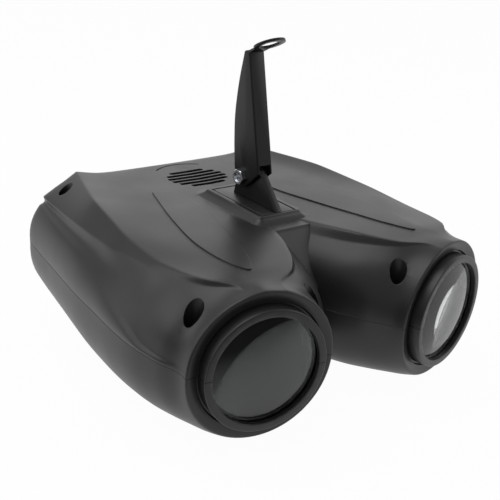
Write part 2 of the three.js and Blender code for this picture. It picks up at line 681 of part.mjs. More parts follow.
// A head's own frame: the lens axis along Y from the ring's front, Z up, X outward or inward
function onHead(geometry, side) {
  return geometry.rotateZ(side * HEAD_TURN).translate(side * HEAD_SPREAD, 0, 0);
}

function headPoint(out, back, side) {
  const x = HEAD_SPREAD + out * Math.cos(HEAD_TURN) - back * Math.sin(HEAD_TURN);
  return [side * x, out * Math.sin(HEAD_TURN) + back * Math.cos(HEAD_TURN)];
}

function headTurned(profile, side) {
  return solid(onHead(turnedGeometry(profile), side));
}

function screwPlaces() {
  return [-1, 1].flatMap((side) => [
    { at: headPoint(-RECESS_OFFSET, RECESS_SETBACK, side), radius: RECESS_RADIUS },
    { at: headPoint(RECESS_OFFSET, RECESS_SETBACK, side), radius: RECESS_RADIUS },
    { at: [side * REAR_RECESS_X, REAR_RECESS_Y], radius: REAR_RECESS_RADIUS },
  ]);
}

function cornersOf(halfWidth, halfDepth) {
  return [-1, 1].flatMap((a) => [-1, 1].map((b) => [a * halfWidth, b * halfDepth]));
}

const BELLY_DEPTH = BELLY_SHARE * NOSE_RADIUS;
const FOOT_SEAT = -BELLY_DEPTH - FOOT_PAD_DROP;
const BORE_RADIUS = LENS_RADIUS + CLEARANCE;
const RECESS_BASE = PAD_TOP - PAD_RECESS_DEPTH;
const PLATE_BASE = RECESS_BASE + SEAT_GAP;
const PLATE_TOP = PLATE_BASE + PLATE_THICKNESS;
const STUD_YS = [PLATE_FRONT + STUD_INSET, PLATE_REAR - STUD_INSET];
const PANEL_FACE = BODY_DEPTH + REAR_BULGE - PANEL_SETBACK;
const LEDGE = PANEL_FACE - PANEL_THICKNESS - SEAT_GAP;
const PANEL_SCREW_X = PANEL_WIDTH / 2 - PANEL_SCREW_INSET;
const PANEL_SCREW_Z = PANEL_HEIGHT / 2 - PANEL_SCREW_INSET;
const BOARDS = [CONTROL_BOARD, POWER_BOARD];
const OPENING_HALF_WIDTH = PANEL_WIDTH / 2 - PANEL_LEDGE;
const OPENING_HALF_HEIGHT = PANEL_HEIGHT / 2 - PANEL_LEDGE;

// The controls' places across the panel, from the inlet to the knob
function controlPlaces() {
  const halves = [INLET_WIDTH / 2, FUSE_RADIUS, SWITCH_WIDTH / 2, SLIDER_BODY[0], KNOB_RADIUS];
  const first = INLET_BODY_WIDTH / 2 + INLET_MARGIN - OPENING_HALF_WIDTH;
  const last = OPENING_HALF_WIDTH - KNOB_MARGIN - KNOB_RADIUS;
  const steps = halves.slice(1).map((half, i) => halves[i] + half);
  const free = steps.reduce((left, step) => left - step, last - first);
  const parts = CONTROL_GAP_SHARES.reduce((sum, share) => sum + share);
  const places = [first];
  steps.forEach((step, i) => places.push(places[i] + step + (free * CONTROL_GAP_SHARES[i]) / parts));
  return places;
}

const [INLET_X, FUSE_X, SWITCH_X, SLIDER_X, KNOB_X] = controlPlaces();

function web() {
  return sidePlate(behindWebFront(WEB_OUTLINE), [-WEB_HALF_WIDTH, WEB_HALF_WIDTH]);
}

function behindWebFront(outline) {
  return outline.map(([setback, height]) => [WEB_FRONT + setback, height]);
}

// The room inside the housing
function hollow() {
  const width = [-WEB_HOLLOW_HALF_WIDTH, WEB_HOLLOW_HALF_WIDTH];
  return cavity().add(sidePlate(behindWebFront(WEB_HOLLOW), width));
}

function pad() {
  const foot = {
    x: [-PAD_HALF_WIDTH - PAD_SLOPE, PAD_HALF_WIDTH + PAD_SLOPE],
    y: [PAD_FRONT - PAD_SLOPE, PAD_REAR + PAD_REAR_SLOPE],
  };
  const top = { x: [-PAD_HALF_WIDTH, PAD_HALF_WIDTH], y: [PAD_FRONT, PAD_REAR] };
  return wedge(foot, top, [PAD_BOTTOM, PAD_TOP]);
}

// The groove round each ring, the ring itself, and the opening behind it
function noseGroove(side) {
  const radius = RING_RADIUS + GROOVE_WIDTH;
  const end = NOSE_SETBACK + GROOVE_DEPTH;
  return headTurned([[0, -OVERRUN], [radius, -OVERRUN], [radius, end], [0, end]], side);
}

function noseRing(side) {
  const rim = [[RING_RADIUS - RING_EDGE, 0], [RING_RADIUS, RING_EDGE], [RING_RADIUS, RING_LENGTH]];
  return headTurned([[0, 0], ...rim, [0, RING_LENGTH]], side);
}

function lensOpening(side) {
  const mouth = LENS_OPENING_RADIUS + RING_EDGE + OVERRUN;
  const end = NOSE_SETBACK + NOSE_WALL + OVERRUN;
  return headTurned(
    [
      [0, -OVERRUN], [mouth, -OVERRUN], [LENS_OPENING_RADIUS, RING_EDGE], [LENS_OPENING_RADIUS, LENS_LIP],
      [BORE_RADIUS, LENS_LIP], [BORE_RADIUS, end], [0, end],
    ],
    side,
  );
}

// A bracket that holds an LED board in two slotted uprights, on a foot shaped to the shell
function boardBracket(side, room) {
  const middle = BOARD_SETBACK + BOARD_THICKNESS / 2;
  const slotHalf = BOARD_THICKNESS / 2 + CLEARANCE;
  const upright = (half, depth, height) =>
    [-1, 1].map((out) => {
      const across = [out * BRACKET_OFFSET - half, out * BRACKET_OFFSET + half];
      return solid(onHead(boxGeometry(across, [middle - depth, middle + depth], height), side));
    });
  const reach = BRACKET_OFFSET + BRACKET_WIDTH / 2;
  const depths = [middle - BRACKET_DEPTH / 2, middle + BRACKET_DEPTH / 2];
  const foot = solid(onHead(boxGeometry([-reach, reach], depths, [-BELLY_DEPTH, BRACKET_FOOT_TOP]), side));
  const uprights = upright(BRACKET_WIDTH / 2, BRACKET_DEPTH / 2, [BRACKET_FOOT_TOP - OVERRUN, -BRACKET_END]);
  const slotEnd = BRACKET_END + BRACKET_SLOT_DEPTH;
  const slots = upright(BRACKET_WIDTH, slotHalf, [-slotEnd, OVERRUN - BRACKET_END]);
  const clear = footPlaces().map(([x, y]) => post(x, y, [-FAR, 0], FOOT_PAD_RADIUS + CLEARANCE, 16));
  return cutBy(joined([foot, ...uprights]), [...slots, ...clear]).intersect(room).translate([0, 0, SEAT_GAP]);
}

// Standoffs from the shell's floor, each with a pin through a circuit board
function boardStandoffs(room) {
  const [radius, length] = POST_PIN;
  return BOARDS.flatMap((board) => {
    const top = board.height - 2 * SEAT_GAP;
    return cornersOf(board.width / 2 - BOARD_INSET, board.depth / 2 - BOARD_INSET).map(([x, y]) => {
      const column = post(x, board.centre + y, [-BELLY_DEPTH, top], POST_RADIUS, 8);
      const pin = post(x, board.centre + y, [-BELLY_DEPTH, top + length], radius, 6);
      return column.add(pin).intersect(room).translate([0, 0, SEAT_GAP]);
    });
  });
}

function fanStands() {
  const [offset, hole] = FAN_HOLE;
  const pin = hole - CLEARANCE;
  const under = FAN_TOP - FAN_DEPTH - SEAT_GAP;
  return cornersOf(offset, offset).map(([x, y]) =>
    joined([
      post(x, VENT_CENTRE + y, [FAN_TOP + SEAT_GAP, NOSE_RADIUS], FAN_STAND_RADIUS, 8),
      post(x, VENT_CENTRE + y, [under - FAN_STAKE_HEIGHT / 2, NOSE_RADIUS], pin, 6),
      post(x, VENT_CENTRE + y, [under - FAN_STAKE_HEIGHT, under], FAN_STAKE_RADIUS, 8),
    ]),
  );
}

function panelBosses(end) {
  const [radius, length] = PANEL_BOSS;
  return [-1, 1].map((side) =>
    rodAlongY(side * PANEL_SCREW_X, end * PANEL_SCREW_Z, [LEDGE - length, LEDGE], radius, 10),
  );
}

function panelCuts() {
  const seat = roundedShape(PANEL_WIDTH / 2 + CLEARANCE, PANEL_HEIGHT / 2 + CLEARANCE, PANEL_CORNER);
  const holes = cornersOf(PANEL_SCREW_X, PANEL_SCREW_Z).map(([x, z]) =>
    rodAlongY(x, z, [LEDGE - PANEL_SCREW[3], BODY_DEPTH + FAR], PANEL_SCREW[2] + CLEARANCE, 8),
  );
  const width = [-OPENING_HALF_WIDTH, OPENING_HALF_WIDTH];
  const opening = box(width, [BODY_DEPTH - REAR_WALL, FAR], [-OPENING_HALF_HEIGHT, OPENING_HALF_HEIGHT]);
  return [uprightPlate(seat, [LEDGE, FAR]), opening, ...holes];
}

function ventSlots() {
  return Array.from({ length: VENT_SLOTS }, (unused, i) => {
    const y = (i - (VENT_SLOTS - 1) / 2) * VENT_SLOT_PITCH;
    const reach = VENT_HALF_WIDTH * Math.sqrt(1 - (y / VENT_HALF_DEPTH) ** 2);
    const middle = VENT_CENTRE + y;
    const depth = [middle - VENT_SLOT_WIDTH / 2, middle + VENT_SLOT_WIDTH / 2];
    return box([-reach, reach], depth, [CANOPY_BELOW, FAR]);
  });
}

function intakeSlots() {
  const [length, width] = INTAKE_SLOT;
  return Array.from({ length: INTAKE_SLOTS * 2 }, (unused, i) => {
    const x = (i % 2 ? 1 : -1) * INTAKE_X;
    const y = POWER_BOARD.centre + (Math.floor(i / 2) - (INTAKE_SLOTS - 1) / 2) * INTAKE_PITCH;
    return box([x - length / 2, x + length / 2], [y - width / 2, y + width / 2], [-FAR, FOOT_PAD_TOP]);
  });
}

function arcGroove() {
  const shape = new THREE.Shape();
  const [from, to] = [Math.PI / 2 - ARC_HALF_ANGLE, Math.PI / 2 + ARC_HALF_ANGLE];
  shape.absarc(0, VENT_CENTRE, ARC_RADIUS, from, to, false);
  shape.absarc(0, VENT_CENTRE, ARC_RADIUS - ARC_WIDTH, to, from, true);
  return slab(shape, [ARC_FLOOR, FAR]);
}

function leafPanel(side) {
  const rows = [...LEAF_OUTER_SHARES, ...LEAF_INNER_SHARES];
  const points = rows.map(([x, y]) => new THREE.Vector2(side * x * BODY_HALF_WIDTH, y * BODY_DEPTH));
  const outline = new THREE.SplineCurve(points).getPoints(rows.length);
  return slab(new THREE.Shape(outline), [LEAF_FLOOR, FAR]);
}

function studHoles() {
  return STUD_YS.map((y) => post(0, y, [STUD_BOTTOM, PAD_TOP], STUD_RADIUS + CLEARANCE, HOLE_STEPS));
}

function upperFittings() {
  const tubes = screwPlaces().map(({ at: [x, y], radius }) =>
    post(x, y, [0, PAD_TOP], radius + RECESS_WALL, 10),
  );
  const [half, ...span] = PAD_BACKING;
  const backing = box([-half, half], [PAD_FRONT, PAD_REAR], span);
  return joined([...tubes, backing, ...fanStands(), ...panelBosses(1)]);
}

function upperCuts() {
  const bores = screwPlaces().flatMap(({ at: [x, y], radius }) => [
    post(x, y, [RECESS_FLOOR, FAR], radius, 12),
    post(x, y, [-OVERRUN, RECESS_FLOOR + OVERRUN], SCREW_RADIUS + CLEARANCE, 8),
  ]);
  const slit = PLATE_HALF_WIDTH + PAD_SLIT;
  const recess = box([-slit, slit], [PLATE_FRONT - PAD_SLIT, PLATE_REAR + PAD_SLIT], [RECESS_BASE, FAR]);
  const leaves = [leafPanel(-1), leafPanel(1)];
  return [...bores, recess, ...studHoles(), ...ventSlots(), arcGroove(), ...leaves, ...panelCuts()];
}

function lowerFittings() {
  const bosses = screwPlaces().map(({ at: [x, y] }) => post(x, y, [-BELLY_DEPTH, 0], BOSS_RADIUS, 10));
  return joined([...bosses, ...panelBosses(-1)]);
}

function footPlaces() {
  return [-1, 1].flatMap((side) => [FEET.front, FEET.rear].map(([x, y]) => [side * x, y]));
}

function lowerCuts() {
  const depth = SCREW_LENGTH - RECESS_FLOOR + OVERRUN;
  const bore = SCREW_RADIUS + CLEARANCE;
  const bores = screwPlaces().map(({ at: [x, y] }) => post(x, y, [-depth, OVERRUN], bore, 8));
  const stemHole = FOOT_STEM[0] + CLEARANCE;
  const stems = footPlaces().map(([x, y]) => post(x, y, [-FAR, FOOT_PAD_TOP + OVERRUN], stemHole, 10));
  return [...bores, ...stems, ...intakeSlots(), ...panelCuts()];
}

// Both shells: the skin with its hollow, noses, inner fittings and openings, split at the seam
function shells() {
  const whole = joined([outerSkin(), web(), pad()]);
  const walls = cutBy(whole, [hollow()]);
  const sides = [-1, 1];
  const grooved = cutBy(walls, sides.map(noseGroove)).add(joined(sides.map(noseRing)));
  const footPads = footPlaces().map(([x, y]) => post(x, y, [FOOT_SEAT, FOOT_PAD_TOP], FOOT_PAD_RADIUS, 16));
  const opened = cutBy(joined([grooved, ...footPads]), sides.map(lensOpening));
  const inside = whole.subtract(joined(sides.map(noseGroove)));
  const half = SEAM_GAP / 2;
  const above = box([-FAR, FAR], [-FAR, FAR], [half, FAR]);
  const below = box([-FAR, FAR], [-FAR, FAR], [-FAR, -half]);
  const upper = cutBy(opened.add(upperFittings().intersect(inside)).intersect(above), upperCuts());
  const lower = cutBy(opened.add(lowerFittings().intersect(inside)).intersect(below), lowerCuts());
  return { upper, lower };
}

// A shallow dome from the axis to a radius, as [radius, y] points
function crownPoints(radius, edge, rise, steps) {
  return Array.from({ length: steps + 1 }, (unused, i) => {
    const out = i / steps;
    return [radius * out, edge - rise * (1 - out * out)];
  });
}

function lens() {
  const front = LENS_LIP + CLEARANCE;
  const back = front + LENS_EDGE;
  const inner = LENS_OPENING_RADIUS - CLEARANCE;
  return turned([
    ...crownPoints(inner, front, LENS_CROWN, 4),
    [LENS_RADIUS, front],
    [LENS_RADIUS, back],
    ...crownPoints(inner, back, -LENS_BACK_CROWN, 2).reverse(),
  ]);
}

function lensRing() {
  const inner = LENS_RADIUS - LENS_RING_WIDTH;
  const [front, back] = [LENS_LIP + LENS_EDGE + 2 * CLEARANCE, RING_LENGTH];
  return turned(closedProfile([[inner, front], [LENS_RADIUS, front], [LENS_RADIUS, back], [inner, back]]));
}

// Places on rings about the lens axis, as [x, z]
function ringPlaces(rings) {
  return rings.flatMap(([count, radius]) =>
    Array.from({ length: count }, (unused, i) => {
      const angle = (2 * Math.PI * i) / count;
      return [radius * Math.cos(angle), radius * Math.sin(angle)];
    }),
  );
}

function lensArray() {
  const back = BOARD_SETBACK - ARRAY_STANDOFF;
  const front = back - ARRAY_THICKNESS;
  const disc = rodAlongY(0, 0, [front, back], ARRAY_RADIUS, 24);
  const legs = ringPlaces([[4, ARRAY_LEG_CIRCLE]]).map(([x, z]) =>
    rodAlongY(x, z, [back - LED_SINK, BOARD_SETBACK - SEAT_GAP], ARRAY_LEG_RADIUS, 6),
  );
  const lenslets = ringPlaces(LED_RINGS).map(([x, z]) => {
    const crown = new THREE.CylinderGeometry(LENSLET_RADIUS, LENSLET_RADIUS / 2, LENSLET_CROWN + LED_SINK, 6);
    return solid(crown.translate(x, front - (LENSLET_CROWN - LED_SINK) / 2, z));
  });
  return joined([disc, ...legs, ...lenslets]);
}

function ledBoard() {
  const disc = rodAlongY(0, 0, [BOARD_SETBACK, BOARD_SETBACK + BOARD_THICKNESS], BOARD_RADIUS, 24);
  const half = LED_SIZE / 2;
  const leds = ringPlaces(LED_RINGS).map(([x, z]) =>
    box([x - half, x + half], [BOARD_SETBACK - LED_HEIGHT, BOARD_SETBACK + LED_SINK], [z - half, z + half]),
  );
  return joined([disc, ...leds]);
}

// Pivot bracket: a plate on the pad with a folded fin, and studs through the canopy
function pivotBracket() {
  const half = FIN_WIDTH / 2;
  const radius = FIN_TOP_Z - PIVOT_Z;
  const head = arcPoints([PIVOT_Y, PIVOT_Z], radius, Math.PI / 2, 0, 6);
  const outline = [[PLATE_FRONT, PLATE_BASE], [PLATE_FRONT, PLATE_TOP], [FIN_TOP_Y, FIN_TOP_Z], ...head];
  const fin = sidePlate([...outline, [FIN_REAR_Y, PLATE_BASE]], [-half, half]);
  const [run, rise] = [FIN_TOP_Y - PLATE_FRONT, FIN_TOP_Z - PLATE_TOP];
  const shift = (FIN_SHEET * Math.hypot(run, rise)) / rise;
  const above = FIN_TOP_Z + OVERRUN;
  const hollow = [
    [PLATE_FRONT + shift, PLATE_TOP], [FIN_TOP_Y + shift + (OVERRUN * run) / rise, above], [FAR, above],
    [FAR, PLATE_TOP],
  ];
  const width = [-PLATE_HALF_WIDTH, PLATE_HALF_WIDTH];
  const plate = box(width, [PLATE_FRONT, PLATE_REAR], [PLATE_BASE, PLATE_TOP]);
  const length = [STUD_BOTTOM, (PLATE_BASE + PLATE_TOP) / 2];
  const studs = STUD_YS.map((y) => post(0, y, length, STUD_RADIUS, HOLE_STEPS));
  const channel = cutBy(fin, [
    sidePlate(hollow, [FIN_SHEET - half, half - FIN_SHEET]),
    rodAlongX(PIVOT_Y, PIVOT_Z, [-ARM_WIDTH, ARM_WIDTH], BOLT_RADIUS + CLEARANCE, HOLE_STEPS),
  ]);
  return joined([channel, plate, ...studs]);
}

// The arm about its pivot: Z along the arm, Y rearwards
function hangerArm() {
  const half = ARM_WIDTH / 2;
  const front = -ARM_FRONT_OFFSET;
  const edge = ARM_EDGE_SHARES.map(([up, deep]) => [front + deep * ARM_DEPTH, up * ARM_LENGTH]);
  const heel = arcPoints([0, 0], ARM_END_RADIUS, ...ARM_HEEL_ANGLES, 8);
  const outline = [[front, ARM_LENGTH], [front, ARM_WEB_START - ARM_TOE], ...heel, ...edge];
  const inner = [ARM_SHEET - half, half - ARM_SHEET];
  const rise = TAB_RISE - ARM_LEAN;
  const forward = new THREE.Vector3(0, -Math.cos(rise), Math.sin(rise));
  const upward = new THREE.Vector3(0, Math.sin(rise), Math.cos(rise));
  const fold = new THREE.Matrix4().makeBasis(new THREE.Vector3(1, 0, 0), forward, upward);
  fold.setPosition(0, front, ARM_LENGTH);
  const sheet = [-ARM_SHEET, 0];
  const tab = boxGeometry([-half, half], [-TAB_ROOT, TAB_REACH], sheet);
  const ring = postGeometry(0, TAB_REACH, sheet, TAB_RING_RADIUS, 24);
  const hole = postGeometry(0, TAB_REACH, [-ARM_SHEET - OVERRUN, OVERRUN], TAB_HOLE_RADIUS, 16);
  return cutBy(sidePlate(outline, [-half, half]), [
    box(inner, [front + ARM_SHEET, FAR], [-FAR, FAR]),
    box(inner, [front - OVERRUN, FAR], [-FAR, ARM_WEB_START]),
    rodAlongX(0, 0, [-ARM_WIDTH, ARM_WIDTH], BOLT_RADIUS + CLEARANCE, HOLE_STEPS),
  ])
    .add(solid(tab.applyMatrix4(fold)))
    .add(solid(ring.applyMatrix4(fold)))
    .subtract(solid(hole.applyMatrix4(fold)));
}

function pivotBolt() {
  const side = -ARM_WIDTH / 2 - SEAT_GAP;
  const end = ARM_WIDTH / 2 + NUT_HEIGHT + BOLT_PROUD;
  const outer = side - BOLT_HEAD_HEIGHT;
  const recess = [outer - OVERRUN, outer + BOLT_RECESS_DEPTH];
  const slot = [-BOLT_RECESS_SLOT / 2, BOLT_RECESS_SLOT / 2];
  const length = [-BOLT_RECESS_HALF, BOLT_RECESS_HALF];
  const bolt = joined([
    rodAlongX(0, 0, [outer, side], BOLT_HEAD_RADIUS, 6),
    rodAlongX(0, 0, [side - BOLT_RECESS_DEPTH / 2, end], BOLT_RADIUS, HOLE_STEPS),
  ]);
  return cutBy(bolt, [box(recess, slot, length), box(recess, length, slot)]);
}

function pivotNut() {
  const inner = ARM_WIDTH / 2 + SEAT_GAP;
  const nut = rodAlongX(0, 0, [inner, inner + NUT_HEIGHT], NUT_RADIUS, 6);
  return nut.subtract(rodAlongX(0, 0, [0, ARM_WIDTH * 2], BOLT_RADIUS + CLEARANCE, HOLE_STEPS));
}

function pivotSpacer(side) {
  const ends = [FIN_WIDTH / 2 + SEAT_GAP, ARM_WIDTH / 2 - ARM_SHEET - SEAT_GAP].map((x) => x * side);
  const span = [Math.min(...ends), Math.max(...ends)];
  const hole = rodAlongX(0, 0, [-ARM_WIDTH, ARM_WIDTH], BOLT_RADIUS + CLEARANCE, HOLE_STEPS);
  return rodAlongX(0, 0, span, WASHER_RADIUS, 14).subtract(hole);
}

function bracketNut() {
  const [radius, height] = STUD_NUT;
  const top = PAD_BACKING[1] - SEAT_GAP;
  const hole = post(0, 0, [0, PAD_TOP], STUD_RADIUS + CLEARANCE, HOLE_STEPS);
  return post(0, 0, [top - height, top], radius, 6).subtract(hole);
}

// A pan-head screw standing on z = 0, with its shank below
function housingScrew() {
  const [slot, length] = CROSS_SLOT;
  const depth = [SCREW_HEAD_HEIGHT - CROSS_DEPTH, SCREW_HEAD_HEIGHT + OVERRUN];
  const screw = joined([
    post(0, 0, [SEAT_GAP, SCREW_HEAD_HEIGHT], SCREW_HEAD_RADIUS, 10),
    post(0, 0, [-SCREW_LENGTH, SCREW_HEAD_HEIGHT / 2], SCREW_RADIUS, 6),
  ]);
  return cutBy(screw, [
    box([-slot, slot], [-length, length], depth),
    box([-length, length], [-slot, slot], depth),
  ]);
}

// Pieces of the rear panel, with y = 0 at its outer face
function panelScrew() {
  const [radius, height, shank, length] = PANEL_SCREW;
  const [slot, reach] = CROSS_SLOT;
  const depth = [height / 2, height + OVERRUN];
  const screw = joined([
    rodAlongY(0, 0, [SEAT_GAP, height], radius, 10),
    rodAlongY(0, 0, [-length, height / 2], shank, 6),
  ]);
  return cutBy(screw, [
    box([-slot, slot], depth, [-reach, reach]),
    box([-reach, reach], depth, [-slot, slot]),
  ]);
}

function rearPanel() {
  const shape = roundedShape(PANEL_WIDTH / 2, PANEL_HEIGHT / 2, PANEL_CORNER);
  const through = [-PANEL_THICKNESS - OVERRUN, OVERRUN];
  const gap = CLEARANCE;
  const window = (x, z, halfWidth, halfHeight) =>
    box([x - halfWidth - gap, x + halfWidth + gap], through, [z - halfHeight - gap, z + halfHeight + gap]);
  const hole = (x, z, radius) => rodAlongY(x, z, through, radius + gap, HOLE_STEPS);
  return cutBy(uprightPlate(shape, [-PANEL_THICKNESS, 0]), [
    window(INLET_X, 0, INLET_BODY_WIDTH / 2, INLET_BODY_HEIGHT / 2),
    window(SWITCH_X, 0, SWITCH_WIDTH / 2 - SWITCH_BODY_INSET, SWITCH_HEIGHT / 2 - SWITCH_BODY_INSET),
    window(SLIDER_X, 0, SLIDER_NUB[0] + SLIDER_TRAVEL / 2, SLIDER_NUB[1]),
    hole(FUSE_X, 0, FUSE_BODY_RADIUS),
    hole(KNOB_X, 0, DIAL_THREAD_RADIUS),
    hole(SLIDER_X, SMALL_PARTS_Z, MIC_RADIUS),
    hole(KNOB_X, SMALL_PARTS_Z, LIGHT_RADIUS),
    ...cornersOf(PANEL_SCREW_X, PANEL_SCREW_Z).map(([x, z]) => hole(x, z, PANEL_SCREW[2])),
  ]);
}

function mainsInlet() {
  const rim = roundedShape(INLET_WIDTH / 2, INLET_HEIGHT / 2, INLET_CORNER);
  const flange = uprightPlate(rim, [SEAT_GAP, INLET_FLANGE]);
  const [halfWidth, halfHeight] = [INLET_BODY_WIDTH / 2, INLET_BODY_HEIGHT / 2];
  const body = box([-halfWidth, halfWidth], [-INLET_BODY_DEPTH, INLET_FLANGE / 2], [-halfHeight, halfHeight]);
  const [x, z] = [INLET_SOCKET_WIDTH / 2, INLET_SOCKET_HEIGHT / 2];
  const [innerX, lowZ] = [x - INLET_CHAMFER, z - INLET_CHAMFER];
  const corners = [[-x, -z], [x, -z], [x, lowZ], [innerX, z], [-innerX, z], [-x, lowZ]];
  const shape = new THREE.Shape(corners.map(([a, b]) => new THREE.Vector2(a, b)));
  const floor = INLET_FLANGE - INLET_SOCKET_DEPTH;
  const socket = uprightPlate(shape, [floor, INLET_FLANGE + OVERRUN]);
  const [thickness, height, length] = INLET_PIN;
  const pins = [
    [-INLET_PIN_PITCH, -SIDE_PIN_DROP], [INLET_PIN_PITCH, -SIDE_PIN_DROP], [0, EARTH_PIN_RISE],
  ].map(([a, b]) => {
    const [across, up] = [[a - thickness / 2, a + thickness / 2], [b - height / 2, b + height / 2]];
    return box(across, [floor - OVERRUN, floor + length], up);
  });
  return joined([flange.add(body).subtract(socket), ...pins]);
}

function fuseHolder() {
  const [slot, reach, depth] = FUSE_SLOT;
  const holder = joined([
    rodAlongY(0, 0, [-FUSE_BODY_DEPTH, FUSE_PROUD / 2], FUSE_BODY_RADIUS, 24),
    rodAlongY(0, 0, [SEAT_GAP, FUSE_PROUD], FUSE_RADIUS, 24),
  ]);
  return holder.subtract(box([-reach, reach], [FUSE_PROUD - depth, FUSE_PROUD + OVERRUN], [-slot, slot]));
}

function powerSwitch() {
  const [x, z] = [SWITCH_WIDTH / 2, SWITCH_HEIGHT / 2];
  const flange = uprightPlate(roundedShape(x, z, SWITCH_CORNER), [SEAT_GAP, SWITCH_FLANGE]);
  const [bx, bz] = [x - SWITCH_BODY_INSET, z - SWITCH_BODY_INSET];
  const [wx, wz] = [x - SWITCH_FRAME, z - SWITCH_FRAME];
  const body = box([-bx, bx], [-SWITCH_BODY_DEPTH, SWITCH_FLANGE / 2], [-bz, bz]);
  const well = box([-wx, wx], [-SWITCH_WELL_DEPTH, SWITCH_FLANGE + OVERRUN], [-wz, wz]);
  return flange.add(body).subtract(well);
}

// The rocker about its pivot
function powerRocker() {
  const x = SWITCH_WIDTH / 2 - SWITCH_FRAME - CLEARANCE;
  const z = SWITCH_HEIGHT / 2 - SWITCH_FRAME - ROCKER_END_GAP;
  const front = ROCKER_PIVOT_DEPTH + ROCKER_PROUD;
  const [back, end] = ROCKER_BACK;
  const outline = [
    [front, z], [ROCKER_PIVOT_DEPTH + ROCKER_VALLEY, 0], [front, -z], [end, -z],
    [-back, -back], [-back, back], [end, z],
  ];
  return sidePlate(outline, [-x, x]);
}

function modeSwitch() {
  const [x, z, depth] = SLIDER_BODY;
  const front = -PANEL_THICKNESS - SEAT_GAP;
  const [shoeX, shoeZ, shoeDepth] = SLIDER_SHOE;
  const wellX = shoeX + SLIDER_TRAVEL / 2 + CLEARANCE;
  const wellZ = shoeZ + CLEARANCE;
  const well = box([-wellX, wellX], [front - shoeDepth - 2 * CLEARANCE, OVERRUN], [-wellZ, wellZ]);
  return box([-x, x], [front - depth, front], [-z, z]).subtract(well);
}

function modeSlider() {
  const [shoeX, shoeZ, shoeDepth] = SLIDER_SHOE;
  const [x, z, proud] = SLIDER_NUB;
  const front = -PANEL_THICKNESS - SEAT_GAP - CLEARANCE;
  const shoe = box([-shoeX, shoeX], [front - shoeDepth, front], [-shoeZ, shoeZ]);
  return shoe.add(box([-x, x], [front - shoeDepth / 2, proud], [-z, z]));
}

function sensitivityDial() {
  const [radius, depth] = DIAL_BODY;
  const [nut, height] = DIAL_NUT;
  const back = -PANEL_THICKNESS - SEAT_GAP;
  return joined([
    rodAlongY(0, 0, [back - depth, back], radius, 16),
    rodAlongY(0, 0, [back - depth / 2, height], DIAL_THREAD_RADIUS, 12),
    rodAlongY(0, 0, [SEAT_GAP, height], nut, 6),
    rodAlongY(0, 0, [back - depth / 2, DIAL_SHAFT_LENGTH], DIAL_SHAFT_RADIUS, 12),
  ]);
}

function sensitivityKnob() {
  const [pointer, pointerDepth, pointerLength] = KNOB_POINTER;
  const hollow = [-OVERRUN, DIAL_NUT[1] + KNOB_GAP];
  const flutes = ringPlaces([[KNOB_FLUTES, KNOB_RADIUS]]).map(([x, z]) =>
    rodAlongY(x, z, [0, KNOB_LENGTH + OVERRUN], KNOB_FLUTE_RADIUS, 6),
  );
  return cutBy(rodAlongY(0, 0, [KNOB_GAP, KNOB_LENGTH], KNOB_RADIUS, 24), [
    rodAlongY(0, 0, hollow, KNOB_RADIUS - KNOB_SHELL, 16),
    rodAlongY(0, 0, [-OVERRUN, DIAL_SHAFT_LENGTH + CLEARANCE], DIAL_SHAFT_RADIUS + CLEARANCE, 16),
    box([-pointer, pointer], [KNOB_LENGTH - pointerDepth, KNOB_LENGTH + OVERRUN], [0, pointerLength]),
    ...flutes,
  ]);
}

function microphone() {
  const [radius, height] = MIC_FLANGE;
  const back = -PANEL_THICKNESS - SEAT_GAP;
  const holes = ringPlaces(MIC_HOLES).map(([x, z]) =>
    rodAlongY(x, z, [MIC_PROUD - MIC_HOLE_DEPTH, MIC_PROUD + OVERRUN], MIC_HOLE_RADIUS, 6),
  );
  const body = rodAlongY(0, 0, [-MIC_DEPTH, MIC_PROUD], MIC_RADIUS, HOLE_STEPS);
  return cutBy(body.add(rodAlongY(0, 0, [back - height, back], radius, HOLE_STEPS)), holes);
}

function statusLight() {
  const back = -PANEL_THICKNESS - SEAT_GAP;
  const dome = arcPoints([0, LIGHT_PROUD - LIGHT_RADIUS], LIGHT_RADIUS, 0, Math.PI / 2, 3);
  return turned(
    [
      [0, -LIGHT_DEPTH], [LIGHT_FLANGE_RADIUS, -LIGHT_DEPTH], [LIGHT_FLANGE_RADIUS, back],
      [LIGHT_RADIUS, back], ...dome.slice(0, -1), [0, LIGHT_PROUD],
    ],
    HOLE_STEPS,
  );
}

// Boards, fan and feet
function circuitBoard({ width, depth }, blocks, cans) {
  const top = BOARD_THICKNESS;
  const parts = [
    ...blocks.map(([x, y, w, d, h]) => {
      const [across, back] = [[x - w / 2, x + w / 2], [y - d / 2, y + d / 2]];
      return box(across, back, [top / 2, top + h]);
    }),
    ...cans.map(([x, y, radius, h]) => post(x, y, [top / 2, top + h], radius, 12)),
  ];
  const holes = cornersOf(width / 2 - BOARD_INSET, depth / 2 - BOARD_INSET).map(([x, y]) =>
    post(x, y, [-OVERRUN, top + OVERRUN], POST_PIN[0] + CLEARANCE, 8),
  );
  return cutBy(joined([box([-width / 2, width / 2], [-depth / 2, depth / 2], [0, top]), ...parts]), holes);
}

